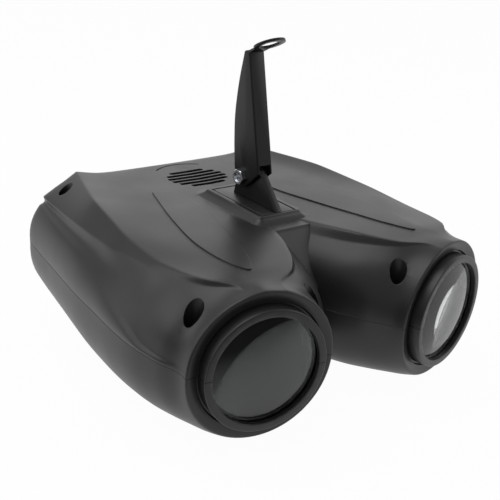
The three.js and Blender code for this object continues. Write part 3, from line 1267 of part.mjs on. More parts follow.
// The fan, with z = 0 at its top
function fanFrame() {
  const [offset, hole] = FAN_HOLE;
  const [armWidth, armThickness] = FAN_SPIDER;
  const shape = roundedShape(FAN_CENTRE_HALF, FAN_CENTRE_HALF, FAN_CORNER);
  const holes = cornersOf(offset, offset).map(([x, y]) => post(x, y, [-FAN_DEPTH * 2, OVERRUN], hole, 8));
  const bottom = [-FAN_DEPTH, armThickness - FAN_DEPTH];
  const arms = Array.from({ length: FAN_SPIDER_ARMS }, (unused, i) => {
    const arm = boxGeometry([0, FAN_BORE + OVERRUN], [-armWidth / 2, armWidth / 2], bottom);
    return solid(arm.rotateZ((2 * Math.PI * i) / FAN_SPIDER_ARMS + Math.PI / 2));
  });
  const bore = post(0, 0, [-FAN_DEPTH * 2, OVERRUN], FAN_BORE, 20);
  const ring = cutBy(slab(shape, [-FAN_DEPTH, 0]), [bore, ...holes]);
  return joined([ring, post(0, 0, bottom, FAN_HUB_RADIUS, 12), ...arms]);
}

function fanRotor() {
  const [thickness, width] = FAN_BLADE;
  const bottom = FAN_SPIDER[1] - FAN_DEPTH + CLEARANCE;
  const middle = (bottom - FAN_HUB_TOP) / 2;
  const blades = Array.from({ length: FAN_BLADES }, (unused, i) => {
    const across = [FAN_HUB_RADIUS - OVERRUN, FAN_BLADE_TIP];
    const blade = boxGeometry(across, [-thickness / 2, thickness / 2], [-width / 2, width / 2]);
    const turn = (2 * Math.PI * i) / FAN_BLADES;
    return solid(blade.rotateX(FAN_BLADE_PITCH).rotateZ(turn).translate(0, 0, middle));
  });
  return joined([post(0, 0, [bottom, -FAN_HUB_TOP], FAN_HUB_RADIUS, 12), ...blades]);
}

function foot() {
  const [radius, length] = FOOT_STEM;
  const top = -SEAT_GAP;
  const profile = [
    [0, -FOOT_HEIGHT], [FOOT_RADIUS - FOOT_EDGE, -FOOT_HEIGHT], [FOOT_RADIUS, FOOT_EDGE - FOOT_HEIGHT],
    [FOOT_RADIUS, top], [radius, top], [radius, length], [0, length],
  ];
  return solid(turnedGeometry(profile, 14).rotateX(Math.PI / 2));
}

function finish(color, roughness, metalness = 0) {
  return new THREE.MeshStandardMaterial({ color, roughness, metalness });
}

const housingPlastic = () => finish(0x4d4c4b, 0.55);
const blackPlastic = () => finish(0x1d1d1e, 0.5);
const blackPaint = () => finish(0x232323, 0.45, 0.4);
const zinc = () => finish(0xc4c6c8, 0.3, 0.9);
const blackSteel = () => finish(0x2c2c2d, 0.4, 0.8);
const lensGlass = () => finish(0x5b6a68, 0.08);
const clearLens = () => finish(0xd8dcdc, 0.15);
const boardGreen = () => finish(0x1f5a38, 0.6);
const boardWhite = () => finish(0xd9d9d4, 0.6);
const rubber = () => finish(0x151515, 0.9);
const redLight = () => finish(0xb01818, 0.25);

function piece(name, shape, material, place = [0, 0, 0], turn = 0) {
  const mesh = new THREE.Mesh(geometryOf(shape), material);
  mesh.name = name;
  mesh.position.set(...place);
  mesh.rotation.x = turn;
  return mesh;
}

function head(label, side) {
  const group = new THREE.Group();
  group.name = `head_${label}`;
  group.position.x = side * HEAD_SPREAD;
  group.rotation.z = side * HEAD_TURN;
  group.add(
    piece(`lens_${label}`, lens(), lensGlass()),
    piece(`lens_ring_${label}`, lensRing(), blackPlastic()),
    piece(`lens_array_${label}`, lensArray(), clearLens()),
    piece(`led_board_${label}`, ledBoard(), boardWhite()),
  );
  return group;
}

function hanger() {
  const group = new THREE.Group();
  group.name = "hanger";
  const pivot = [0, PIVOT_Y, PIVOT_Z];
  group.add(
    piece("pivot_bracket", pivotBracket(), blackPaint()),
    piece("hanger_arm", hangerArm(), blackPaint(), pivot, -ARM_LEAN),
    piece("pivot_bolt", pivotBolt(), zinc(), pivot),
    piece("pivot_nut", pivotNut(), zinc(), pivot),
    piece("pivot_spacer_left", pivotSpacer(-1), blackPlastic(), pivot),
    piece("pivot_spacer_right", pivotSpacer(1), blackPlastic(), pivot),
  );
  STUD_YS.forEach((y, i) => group.add(piece(`bracket_nut_${i + 1}`, bracketNut(), zinc(), [0, y, 0])));
  return group;
}

function rearControls() {
  const group = new THREE.Group();
  group.name = "rear_controls";
  group.position.y = PANEL_FACE;
  const resting = SLIDER_X - SLIDER_TRAVEL / 2;
  group.add(
    piece("rear_panel", rearPanel(), blackPaint()),
    piece("mains_inlet", mainsInlet(), blackPlastic(), [INLET_X, 0, 0]),
    piece("fuse_holder", fuseHolder(), blackPlastic(), [FUSE_X, 0, 0]),
    piece("power_switch", powerSwitch(), blackPlastic(), [SWITCH_X, 0, 0]),
    piece("power_rocker", powerRocker(), blackPlastic(), [SWITCH_X, -ROCKER_PIVOT_DEPTH, 0], ROCKER_TILT),
    piece("mode_switch", modeSwitch(), blackPlastic(), [SLIDER_X, 0, 0]),
    piece("mode_slider", modeSlider(), blackPlastic(), [resting, 0, 0]),
    piece("sensitivity_dial", sensitivityDial(), zinc(), [KNOB_X, 0, 0]),
    piece("sensitivity_knob", sensitivityKnob(), blackPlastic(), [KNOB_X, 0, 0]),
    piece("microphone", microphone(), blackPlastic(), [SLIDER_X, 0, SMALL_PARTS_Z]),
    piece("status_led", statusLight(), redLight(), [KNOB_X, 0, SMALL_PARTS_Z]),
  );
  cornersOf(PANEL_SCREW_X, PANEL_SCREW_Z).forEach(([x, z], i) =>
    group.add(piece(`panel_screw_${i + 1}`, panelScrew(), blackSteel(), [x, 0, z])),
  );
  return group;
}

function electronics() {
  const group = new THREE.Group();
  group.name = "electronics";
  const control = circuitBoard(CONTROL_BOARD, CONTROL_CHIPS, []);
  const power = circuitBoard(POWER_BOARD, POWER_BLOCKS, POWER_CANS);
  const fan = [0, VENT_CENTRE, FAN_TOP];
  const room = hollow();
  group.add(
    piece("control_board", control, boardGreen(), [0, CONTROL_BOARD.centre, CONTROL_BOARD.height]),
    piece("power_board", power, boardGreen(), [0, POWER_BOARD.centre, POWER_BOARD.height]),
    piece("fan_frame", fanFrame(), blackPlastic(), fan),
    piece("fan_rotor", fanRotor(), blackPlastic(), fan),
    piece("board_bracket_left", boardBracket(-1, room), blackPlastic()),
    piece("board_bracket_right", boardBracket(1, room), blackPlastic()),
  );
  boardStandoffs(room).forEach((shape, i) =>
    group.add(piece(`board_standoff_${i + 1}`, shape, blackPlastic())),
  );
  return group;
}

function housing() {
  const group = new THREE.Group();
  group.name = "housing";
  const { upper, lower } = shells();
  group.add(piece("upper_shell", upper, housingPlastic()), piece("lower_shell", lower, housingPlastic()));
  screwPlaces().forEach(({ at: [x, y] }, i) =>
    group.add(piece(`housing_screw_${i + 1}`, housingScrew(), blackSteel(), [x, y, RECESS_FLOOR])),
  );
  const names = ["foot_front_left", "foot_rear_left", "foot_front_right", "foot_rear_right"];
  footPlaces().forEach(([x, y], i) => group.add(piece(names[i], foot(), rubber(), [x, y, FOOT_SEAT])));
  return group;
}

const light = new THREE.Group();
light.name = "led_pattern_light";
light.add(housing(), head("left", -1), head("right", 1), hanger(), rearControls(), electronics());

// Stand the light on the ground, centred along its length
const bounds = new THREE.Box3().setFromObject(light, true);
light.position.set(0, -(bounds.min.y + bounds.max.y) / 2, -bounds.min.z);

export default light;
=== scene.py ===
import math

import bmesh
import bpy
import numpy as np
from mathutils import Matrix, Vector


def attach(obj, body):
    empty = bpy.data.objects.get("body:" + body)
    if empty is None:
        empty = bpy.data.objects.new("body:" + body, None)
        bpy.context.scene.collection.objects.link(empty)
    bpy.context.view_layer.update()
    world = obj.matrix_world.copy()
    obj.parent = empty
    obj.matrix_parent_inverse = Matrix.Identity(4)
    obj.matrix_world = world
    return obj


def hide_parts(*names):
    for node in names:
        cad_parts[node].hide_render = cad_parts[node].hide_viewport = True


# The looks of a twin-head LED pattern light: a housing moulded in two halves, glass
# lenses, a painted hanging arm and the controls at the back. Lengths are in millimetres
# from the middle of the lens rings' front; MM and ORIGIN take them to the frame in metres.
MM = 0.001
ORIGIN = Vector((0, -138.5085, 67.116))
SIDES = {"left": -1, "right": 1}

# Housing
HEAD_SPREAD = 94.4
HEAD_TURN = math.radians(11.8)
NOSE_RADIUS = 57
NOSE_SETBACK = 8
NOSE_WALL = 7
BODY_DEPTH = 264
BODY_HALF_WIDTH = 155.4
NOTCH_HALF_WIDTH = 21
WALL = 2.8
REAR_WALL = 7
SEAM_GAP = 0.3
SEAT_GAP = 0.1
CLEARANCE = 0.3
OVERRUN = 1
FAR = 400
RIM_ROUNDING = 1.6
REAR_ROUNDING = (6, 4)  # how far it reaches forwards, and how far it draws in
CREASE_RADIUS = 1.5

# Steps round circles and arcs, from large pieces to small ones
ROUND_STEPS = 96
WIDE_STEPS = 64
ROD_STEPS = 48
ARC_STEPS = 40
POST_STEPS = 32
PIN_STEPS = 24
SMALL_STEPS = 16
LENSLET_STEPS = 8
CORNER_STEPS = 6
RIM_STEPS = 5
EDGE_STEPS = 4

# Edges that turn by more than these angles are rounded, and past the last one shaded sharp
EDGE_ANGLE = math.radians(35)
KEPT_EDGE_ANGLE = math.radians(40)
BOLT_EDGE_ANGLE = math.radians(50)
RIB_EDGE_ANGLE = math.radians(60)
SMOOTH_ANGLE = math.radians(32)

# Lines that run from nose to rear along each half: share of the way back, share of
# BODY_HALF_WIDTH and share of NOSE_RADIUS
SEAM_SHARES = [
    [0, 0.955], [0.075, 0.972], [0.15, 0.988], [0.23, 1], [0.34, 0.994],
    [0.46, 0.975], [0.58, 0.956], [0.72, 0.924], [0.87, 0.881], [1, 0.84],
]
FLANK_RIDGE_SHARES = [
    [0, 0.95, 0.09], [0.18, 0.984, 0.1], [0.26, 0.985, 0.21], [0.37, 0.972, 0.33],
    [0.48, 0.95, 0.42], [0.63, 0.915, 0.51], [0.83, 0.857, 0.54], [1, 0.788, 0.58],
]
LIP_SHARES = [
    [0, 0.69, 0.975], [0.05, 0.688, 0.974], [0.082, 0.737, 0.947], [0.12, 0.782, 0.925],
    [0.17, 0.819, 0.905], [0.23, 0.843, 0.88], [0.3, 0.862, 0.87], [0.46, 0.878, 0.842],
    [0.57, 0.866, 0.807], [0.73, 0.843, 0.763], [0.89, 0.804, 0.719], [1, 0.779, 0.702],
]
RIDGE_SHARES = [
    [0, 0.68, 0.985], [0.05, 0.68, 1], [0.085, 0.731, 1.003], [0.11, 0.765, 1],
    [0.17, 0.803, 0.98], [0.23, 0.82, 0.965], [0.31, 0.831, 0.958], [0.47, 0.82, 1],
    [0.57, 0.795, 1.032], [0.7, 0.76, 1.07], [0.75, 0.741, 1.076], [0.87, 0.678, 1.079],
    [1, 0.605, 1.079],
]
SHOULDER_SHARES = [
    [0, 0.644, 0.99], [0.1, 0.65, 1.003], [0.2, 0.663, 1.005], [0.4, 0.69, 1.015],
    [0.67, 0.624, 1.02], [0.85, 0.54, 1.01], [1, 0.457, 1.005],
]
CROWN_SHARES = [
    [0, 0.597, 1], [0.03, 0.587, 0.99], [0.09, 0.572, 0.99], [0.14, 0.557, 1.014],
    [0.25, 0.515, 1.024], [0.36, 0.476, 1.026], [0.5, 0.425, 1.024], [0.7, 0.36, 1.012],
    [1, 0.29, 0.984],
]
# The inner ridge mirrors the outer one but for its height: share of the way back and height
INNER_HEIGHT_SHARES = [
    [0, 0.98], [0.1, 0.99], [0.2, 1.01], [0.3, 1.01], [0.45, 0.985], [1, 0.98],
]
FLANK_BULGE_SHARE = 0.03
INNER_BULGE_SHARE = 0.07
SCOOP_SHARE = 0.055
# Where the lines start round the nose's circle, as shares of half a turn
NOSE_ANGLE_SHARES = [0, 0.028, 0.405, 0.42, 0.46, 0.5, 0.58, 0.595, 1]
NOSE_BLEND_SHARE = 0.11
BELLY_SHARE = 1.088
# The belly: share of the way back, squareness of its curve and depth
BELLY_SHARES = [
    [0, 2, 1], [0.04, 2.4, 1.02], [0.1, 2.5, 1.05], [0.2, 2.75, BELLY_SHARE],
    [0.45, 3.2, BELLY_SHARE], [0.7, 2.9, BELLY_SHARE], [1, 2.5, BELLY_SHARE],
]
REAR_BULGE = 12
REAR_BULGE_START_SHARE = 0.72
SPAN_STEPS = [8, 12, 4, 8, 8, 10, 4, 8]
BELLY_STEPS = 48
STATIONS = 54
CAVITY_STATIONS = 14
END_SIZE_SHARES = [0.12, 0.35, 0.6, 0.82, 0.94]
UNFOLDING_PASSES = 24
SLIVER_SHARE = 0.02

# Ring, lens and the optics behind it
RING_RADIUS = 46.7
RING_LENGTH = 14
RING_EDGE = 0.8
LENS_OPENING_RADIUS = 41
LENS_LIP = 4
LENS_RADIUS = 44
LENS_EDGE = 3
LENS_CROWN = 5.2
LENS_BACK_CROWN = 1.6
LENS_RING_WIDTH = 3
# The groove round the ring, as (radius, distance back)
COVE = [(56.4, 8), (54.8, 8.1), (52.8, 8.4), (50.8, 8.8), (48.8, 9.3), (48.2, 11.5)]
BOARD_SETBACK = 78
BOARD_RADIUS = 36
BOARD_THICKNESS = 1.6
LED_RINGS = [(1, 0), (6, 11.5), (12, 23)]  # how many, and how far out
LED_SIZE = 4
LED_HEIGHT = 1.4
LED_CHIP = 1.3
ARRAY_RADIUS = 34
ARRAY_THICKNESS = 2
ARRAY_STANDOFF = 9
ARRAY_LEG_RADIUS = 2
ARRAY_LEG_CIRCLE = 31.5
LENSLET_RADIUS = 4.8
LENSLET_CROWN = 1.6

# Web between the heads, pad, vent, grooves and leaf panels
WEB_HALF_WIDTH = 21
# Seen from the side, as (y, z)
WEB_OUTLINE = [(91, 56), (90, 54), (60, 17), (60, -17), (82, -46), (190, -46), (190, 56)]
WEB_HOLLOW = [(94, 52.6), (66, 17), (66, -17), (86, -43), (216, -43), (216, 52.6)]
WEB_HOLLOW_HALF_WIDTH = 16
PAD_TOP = 62
PAD_BOTTOM = 54.8
PAD_FRONT = 106
PAD_REAR = 179
PAD_HALF_WIDTH = 21
PAD_FLANKS = (11, 7, 12)  # how far its flanks reach out at the sides, in front and behind
PAD_CURVE = 1.4
PAD_ROWS = 9
PAD_CORNER = 3
PAD_EDGE = 1.2
PAD_RECESS_DEPTH = 2
PAD_SLIT = 1.1
PAD_BACKING = (12, 50, 56)  # half-width, bottom and top
VENT_CENTRE = 218
VENT_HALF_WIDTH = 28.5
VENT_HALF_DEPTH = 21
VENT_SLOTS = 6
VENT_SLOT_WIDTH = 4.7
VENT_SLOT_PITCH = 6.6
CANOPY_BELOW = 44
LEAF_BELOW = 55
INTAKE_SLOTS = 5
INTAKE_SLOT = (30, 3.2)  # length and width
INTAKE_X = 34
INTAKE_Y = 208
INTAKE_PITCH = 7
ARC_RADIUS = 38
ARC_WIDTH = 1.4
ARC_DEPTH = 1.5
ARC_HALF_ANGLE = math.radians(38)
LEAF_RISE = 0.9
LEAF_POINTS = 90
# Points round a leaf panel: shares of BODY_HALF_WIDTH and of BODY_DEPTH
LEAF_OUTER_SHARES = [
    [0.386, 0.75], [0.5, 0.566], [0.581, 0.396], [0.6, 0.29], [0.585, 0.2], [0.535, 0.152],
]
LEAF_INNER_SHARES = [[0.457, 0.228], [0.4, 0.325], [0.333, 0.456], [0.27, 0.603], [0.261, 0.73]]
RECESS_SETBACK = 27
RECESS_OFFSET = 45.5
RECESS_RADIUS = 6.6
RECESS_WALL = 2
RECESS_FLOOR = 3.4
REAR_RECESS = (111, 249, 5.6)  # x, y and radius
SCREW_HEAD = (3.6, 2.6)  # radius and height
SCREW_RADIUS = 1.5
SCREW_LENGTH = 15
SCREW_DOME_SHARES = (0.45, 0.55)  # of its head's height: the rim and the dome over it
SCREW_CROSS_SHARES = (0.14, 0.6, 0.45)  # half-width and half-length of its radius, floor of height
BOSS_RADIUS = 4.6

# Bracket, arm and bolt
PLATE_HALF_WIDTH = 16
PLATE_THICKNESS = 1.8
PLATE_FRONT = 109
PLATE_REAR = 174
STUD_RADIUS = 2
STUD_INSET = 9
STUD_BOTTOM = 43.5
FIN_WIDTH = 7.2
FIN_SHEET = 1.8
PIVOT = Vector((0, 150, 80))
FIN_TOP_Y = 134.5
FIN_TOP_Z = 89.3
FIN_REAR_Y = 163
ARM_WIDTH = 15
ARM_SHEET = 1.8
ARM_BEND = 1.1
ARM_LENGTH = 98.9
ARM_LEAN = math.radians(14.8)
ARM_FRONT_OFFSET = 21.5
ARM_DEPTH = 30
ARM_END_RADIUS = 9
ARM_WEB_START = 8.5
ARM_TOE = 7
ARM_HEEL_ANGLES = (math.pi * 1.32, math.pi * 2.05)
# The arm's rear edge: share of its length and of its depth there
ARM_EDGE_SHARES = [[0.1, 1], [0.3, 0.93], [0.52, 0.8], [0.77, 0.53], [1, 0.2]]
ARM_EDGE_STEPS = 28
TAB_ROOT = 1.5
TAB_RISE = math.radians(30)
TAB_REACH = 16.2
TAB_RING_RADIUS = 12.5
TAB_HOLE_RADIUS = 7.5
BOLT_RADIUS = 3
BOLT_HEAD = (6.6, 4.2)  # radius and height
BOLT_DISH = (4.2, 1.1)  # radius and depth
BOLT_CROSS = (0.9, 3.2, 2.2)  # half-width, half-length and depth
BOLT_PROUD = 2
NUT = (5.6, 5)  # radius and height
HEX_CHAMFER_SHARE = 0.7
THREAD_PITCH = 0.7
THREAD_DEPTH_SHARE = 0.55
EDGE = 0.3

# Rear panel and controls
PANEL_FACE = 273.4
PANEL_WIDTH = 132
PANEL_HEIGHT = 62
PANEL_THICKNESS = 2
PANEL_LEDGE = 7
PANEL_CORNER = 4
PANEL_SCREW = (2.8, 1.6, 1.2, 7)  # radius and height of its head, radius and length below
PANEL_SCREW_INSET = 3.6
PANEL_BOSS = (3.6, 9)  # radius and length
FUSE_X = -16
FUSE = (6.6, 5.4, 8, 26)  # cap and body radius, how far it stands proud, and depth
FUSE_SLOT = (0.7, 4.4, 1.4)  # half-width, half-length and depth
FUSE_RIBS = 18
KNOB_X = 47
KNOB = (8, 13)  # radius and length
KNOB_GAP = 0.8
KNOB_RIBS = 24
KNOB_RIB = 0.35
KNOB_SHELL = 2
KNOB_POINTER = (0.6, 0.6, 6)  # half-width, depth and length
DIAL_SHAFT = (3, 11)  # radius and length
DIAL_NUT_HEIGHT = 2

# Fan, boards and feet
FAN_TOP = 51
FAN_DEPTH = 13
FAN_HOLE = (21, 1.9)  # how far out, and radius
FAN_STAND_RADIUS = 3
FAN_STAKE_HEIGHT = 1.4
FOOT_RADIUS = 9
FOOT_HEIGHT = 4.5
FOOT_EDGE = 1
FOOT_PAD = (11, -54, 0.6)  # radius, top, and how far the pads stand below the belly
FOOT_STEM = (2.8, 7)  # radius and length
FOOT_RINGS = [3.2, 5.4]
FEET = [(74, 62, "front"), (84, 236, "rear")]

# Camera, from its fit to the photograph: where it stands, its turns and its lens
CAMERA_AT = Vector((-489.55, -563.02, 397.59))
CAMERA_BEARING = math.radians(-49.07)
CAMERA_DIP = math.radians(27.02)
CAMERA_AIM = (128.6, 70.3)  # pixels right of and below the middle
CAMERA_ROLL = math.radians(9.33)
CAMERA_FOCUS = 979  # pixels
IMAGE_SIZE = 500
SENSOR = 36


# Numbers along tables and curves
def along(rows, share, column):
    """A smooth value of a table's column at a share, through its rows."""
    last = len(rows) - 1
    at = min(max(share, rows[0][0]), rows[last][0])
    i = next((k for k in range(last + 1) if rows[k][0] >= at), 0) - 1
    i = min(last - 1, max(0, i))

    def slope(k):
        before, after = rows[max(0, k - 1)], rows[min(last, k + 1)]
        return (after[column] - before[column]) / (after[0] - before[0])

    span = rows[i + 1][0] - rows[i][0]
    f = (at - rows[i][0]) / span
    return (
        (2 * f**3 - 3 * f**2 + 1) * rows[i][column]
        + (f**3 - 2 * f**2 + f) * span * slope(i)
        + (3 * f**2 - 2 * f**3) * rows[i + 1][column]
        + (f**3 - f**2) * span * slope(i + 1)
    )


def smoothstep(value, low, high):
    f = min(1, max(0, (value - low) / (high - low)))
    return f * f * (3 - 2 * f)


def catmull(points, place):
    """A point on the curve through points, place running from 0 to their number less 1."""
    last = len(points) - 1
    i = min(last - 1, int(place))
    f = place - i
    p0, p1, p2, p3 = (points[min(last, max(0, k))] for k in (i - 1, i, i + 1, i + 2))
    v0, v1 = (p2 - p0) * 0.5, (p3 - p1) * 0.5
    return (
        (2 * p1 - 2 * p2 + v0 + v1) * f**3 + (-3 * p1 + 3 * p2 - 2 * v0 - v1) * f**2 + v0 * f + p1
    )


def arc(centre, radius, start, end, steps):
    angles = np.linspace(start, end, steps + 1)
    return [(centre[0] + radius * math.cos(a), centre[1] + radius * math.sin(a)) for a in angles]


# The housing's surface: sections across each half, from nose to rear
TURN_SLOPE = math.tan(HEAD_TURN)
CORNER_REACH = HEAD_SPREAD - NOTCH_HALF_WIDTH
NOSE_START = (
    NOSE_SETBACK * (math.cos(HEAD_TURN) + TURN_SLOPE * math.sin(HEAD_TURN))
    - TURN_SLOPE * CORNER_REACH
)
STATION_RUN = BODY_DEPTH - NOSE_START


def share_along_axis(setback):
    """The share of the way back at a distance along a head's axis."""
    turned = setback * TURN_SLOPE * math.sin(HEAD_TURN)
    ahead = setback * math.cos(HEAD_TURN) + turned - NOSE_START - TURN_SLOPE * CORNER_REACH
    return ahead / (STATION_RUN - TURN_SLOPE * CORNER_REACH + turned)


def share_at_depth(depth):
    return (depth - NOSE_START) / STATION_RUN


def station_at(share):
    """A station across a half: its share of the way back, start, slope and axis."""
    start = NOSE_START + STATION_RUN * share
    slope = TURN_SLOPE * (1 - share)
    setback = (start + slope * CORNER_REACH) / (math.cos(HEAD_TURN) + slope * math.sin(HEAD_TURN))
    return share, start, slope, HEAD_SPREAD - setback * math.sin(HEAD_TURN)


def station_depth(station, x, z):
    share, start, slope, _ = station
    swell = REAR_BULGE * smoothstep(share, REAR_BULGE_START_SHARE, 1)
    level = min(1, abs(z) / NOSE_RADIUS)
    return start + slope * max(0, x - NOTCH_HALF_WIDTH) + swell * (1 - level**3)


def line_points(station):
    """The lines' points on a station, from the outer seam over the top to the inner seam."""
    share, _, slope, axis_x = station
    blend = smoothstep(share, 0, NOSE_BLEND_SHARE)
    narrowing = math.cos(math.atan(slope))
    tables = [FLANK_RIDGE_SHARES, LIP_SHARES, RIDGE_SHARES, SHOULDER_SHARES, CROWN_SHARES]
    lines = [
        (along(t, share, 1) * BODY_HALF_WIDTH, along(t, share, 2) * NOSE_RADIUS) for t in tables
    ]
    seam = (along(SEAM_SHARES, share, 1) * BODY_HALF_WIDTH, 0)
    inner_ridge = (2 * axis_x - lines[2][0], along(INNER_HEIGHT_SHARES, share, 1) * NOSE_RADIUS)
    inner = [inner_ridge, (2 * axis_x - lines[1][0], lines[1][1]), (2 * axis_x - seam[0], 0)]
    points = []
    for (x, z), angle_share in zip([seam, *lines, *inner], NOSE_ANGLE_SHARES):
        angle = angle_share * math.pi
        across, up = NOSE_RADIUS * math.cos(angle) * narrowing, NOSE_RADIUS * math.sin(angle)
        nose = np.array((axis_x + across, up))
        points.append(nose + (np.array((x, z)) - nose) * blend)
    return points


def swing(start, end, axis_x, bulge):
    """A curve between two points that swings about the head's axis, swelled by a bulge."""
    radii = [math.hypot(p[0] - axis_x, p[1]) for p in (start, end)]
    angles = [math.atan2(p[1], p[0] - axis_x) for p in (start, end)]

    def at(f):
        angle = angles[0] + (angles[1] - angles[0]) * f
        radius = radii[0] + (radii[1] - radii[0]) * f + bulge * math.sin(math.pi * f)
        return np.array((axis_x + radius * math.cos(angle), radius * math.sin(angle)))

    return at


def section(station):
    """One closed outline across a half, its creases rounded."""
    share, _, _, axis_x = station
    lines = line_points(station)
    grown = smoothstep(share, 0, NOSE_BLEND_SHARE * 2) * NOSE_RADIUS
    scooped = smoothstep(share, NOSE_BLEND_SHARE, NOSE_BLEND_SHARE * 3) * NOSE_RADIUS
    top = lines[3:7]
    curves = [
        swing(lines[0], lines[1], axis_x, FLANK_BULGE_SHARE * grown),
        swing(lines[1], lines[2], axis_x, -SCOOP_SHARE * scooped),
        lambda f: lines[2] + (lines[3] - lines[2]) * f,
        lambda f: catmull(top, f),
        lambda f: catmull(top, 1 + f),
        lambda f: catmull(top, 2 + f),
        lambda f: lines[6] + (lines[7] - lines[6]) * f,
        swing(lines[7], lines[8], axis_x, INNER_BULGE_SHARE * grown),
    ]
    points, creases = [], []
    for curve, steps in zip(curves, SPAN_STEPS):
        length = np.linalg.norm(curve(1) - curve(0))
        near = min(1 / (steps + 1), CREASE_RADIUS / max(length, CREASE_RADIUS))
        creases.append(len(points))
        points.append(curve(0))
        points += [curve(f) for f in np.linspace(near, 1 - near, steps)]
    roundness = along(BELLY_SHARES, share, 1)
    depth = along(BELLY_SHARES, share, 2) * NOSE_RADIUS
    reach = lines[0][0] - axis_x
    for i in range(BELLY_STEPS):
        angle = math.pi * i / BELLY_STEPS
        across, down = (abs(v) ** (2 / roundness) for v in (math.cos(angle), math.sin(angle)))
        x = axis_x - math.copysign(reach * across, math.cos(angle))
        points.append(np.array((x, -depth * down)))
    rounded = list(points)
    for i in creases[1:]:
        rounded[i] = (points[i - 1] + 2 * points[i] + points[i + 1]) / 4
    return rounded


def drawn_in(points, distance, size):
    """An outline drawn in, unfolded where it crosses itself, and shrunk; its middle comes last."""
    p = np.array(points)
    edge = np.roll(p, -1, 0) - np.roll(p, 1, 0)
    edge /= np.linalg.norm(edge, axis=1)[:, None]
    drawn = p + distance * np.stack((-edge[:, 1], edge[:, 0]), 1)
    run = np.roll(p, -1, 0) - p
    for _ in range(UNFOLDING_PASSES):
        turned = ((np.roll(drawn, -1, 0) - drawn) * run).sum(1) < 0
        for i in np.flatnonzero(turned):
            j = (i + 1) % len(p)
            between = (drawn[i] + drawn[j]) / 2
            drawn[i], drawn[j] = between - run[i] * SLIVER_SHARE, between + run[i] * SLIVER_SHARE
    drawn[:, 0] = np.maximum(-OVERRUN, drawn[:, 0])
    middle = drawn.mean(0)
    return np.vstack((middle + (drawn - middle) * size, middle))


def half_body(stations, side):
    """Half of the housing as a solid through its (share, inset) stations."""
    ends = [(*stations[0], size) for size in END_SIZE_SHARES]
    rears = [(*stations[-1], size) for size in reversed(END_SIZE_SHARES)]
    loops = []
    for share, inset, size in [*ends, *((*s, 1) for s in stations), *rears]:
        station = station_at(share)
        outline = drawn_in(section(station), inset, size)
        loops.append([(x * side, station_depth(station, x, z), z) for x, z in outline])
    count = len(loops[0]) - 1
    corners = [p for loop in loops for p in loop[:-1]]
    faces = []
    for s in range(len(loops) - 1):
        for i in range(count):
            j = (i + 1) % count
            faces.append((s * count + i, (s + 1) * count + i, (s + 1) * count + j, s * count + j))
    for s, middle in ((0, loops[0][-1]), (len(loops) - 1, loops[-1][-1])):
        corners.append(middle)
        for i in range(count):
            faces.append((len(corners) - 1, s * count + i, s * count + (i + 1) % count))
    return solid(corners, faces)


def skin(stations):
    ordered = sorted(stations)
    return joined([half_body(ordered, 1), half_body(ordered, -1)])


def outer_skin():
    """The whole skin, its front rims and rear edge rounded."""
    ahead, inset = REAR_ROUNDING
    rim, rear = [], []
    for i in range(RIM_STEPS + 1):
        angle = math.pi / 2 * i / RIM_STEPS
        fall, rise = 1 - math.sin(angle), 1 - math.cos(angle)
        rim.append((share_along_axis(NOSE_SETBACK + RIM_ROUNDING * rise), RIM_ROUNDING * fall))
        rear.append((share_at_depth(BODY_DEPTH - ahead * fall), inset * rise))
    between = np.linspace(rim[-1][0], rear[0][0], STATIONS + 2)[1:-1]
    return skin([*rim, *((s, 0) for s in between), *rear])


def cavity():
    start = share_along_axis(NOSE_SETBACK + NOSE_WALL)
    end = share_at_depth(BODY_DEPTH - REAR_WALL)
    return skin([(s, WALL) for s in np.linspace(start, end, CAVITY_STATIONS)])


# Solids, as meshes in millimetres
def solid(corners, faces):
    mesh = bpy.data.meshes.new("solid")
    mesh.from_pydata([tuple(c) for c in corners], [], [tuple(f) for f in faces])
    bm = bmesh.new()
    bm.from_mesh(mesh)
    bmesh.ops.recalc_face_normals(bm, faces=bm.faces)
    if bm.calc_volume(signed=True) < 0:
        bmesh.ops.reverse_faces(bm, faces=bm.faces)
    bm.to_mesh(mesh)
    bm.free()
    return mesh


def linked(name, data):
    """A new object in the scene."""
    made = bpy.data.objects.new(name, data)
    bpy.context.scene.collection.objects.link(made)
    return made


def evaluated(o):
    graph = bpy.context.evaluated_depsgraph_get()
    return bpy.data.meshes.new_from_object(o.evaluated_get(graph))


def combined(first, second, operation):
    whole, other = linked("working", first), linked("working", second)
    step = whole.modifiers.new("join", "BOOLEAN")
    step.operation, step.object, step.solver = operation, other, "MANIFOLD"
    result = evaluated(whole)
    for o in (whole, other):
        bpy.data.objects.remove(o)
    return result


def joined(solids):
    whole = solids[0]
    for other in solids[1:]:
        whole = combined(whole, other, "UNION")
    return whole


def cut(whole, cutters):
    for cutter in cutters:
        whole = combined(whole, cutter, "DIFFERENCE")
    return whole


def softened(mesh, width, steps=2, angle=EDGE_ANGLE):
    """The mesh with its edges rounded."""
    o = linked("working", mesh)
    step = o.modifiers.new("edges", "BEVEL")
    step.width, step.segments, step.limit_method, step.angle_limit = width, steps, "ANGLE", angle
    step.use_clamp_overlap = True
    step.harden_normals = False
    result = evaluated(o)
    bpy.data.objects.remove(o)
    return result


def either_way(half):
    return -half, half


def box(x, y, z):
    corners = [(a, b, c) for a in sorted(x) for b in sorted(y) for c in sorted(z)]
    faces = [(0, 1, 3, 2), (4, 6, 7, 5), (0, 4, 5, 1), (2, 3, 7, 6), (0, 2, 6, 4), (1, 5, 7, 3)]
    return solid(corners, faces)


def prism(outline, ends, place):
    """An outline spread between two ends; place(a, b, end) gives a corner."""
    count = len(outline)
    corners = [place(a, b, end) for end in ends for a, b in outline]
    sides = [(i, (i + 1) % count, count + (i + 1) % count, count + i) for i in range(count)]
    return solid(corners, [*sides, tuple(range(count))[::-1], tuple(range(count, 2 * count))])


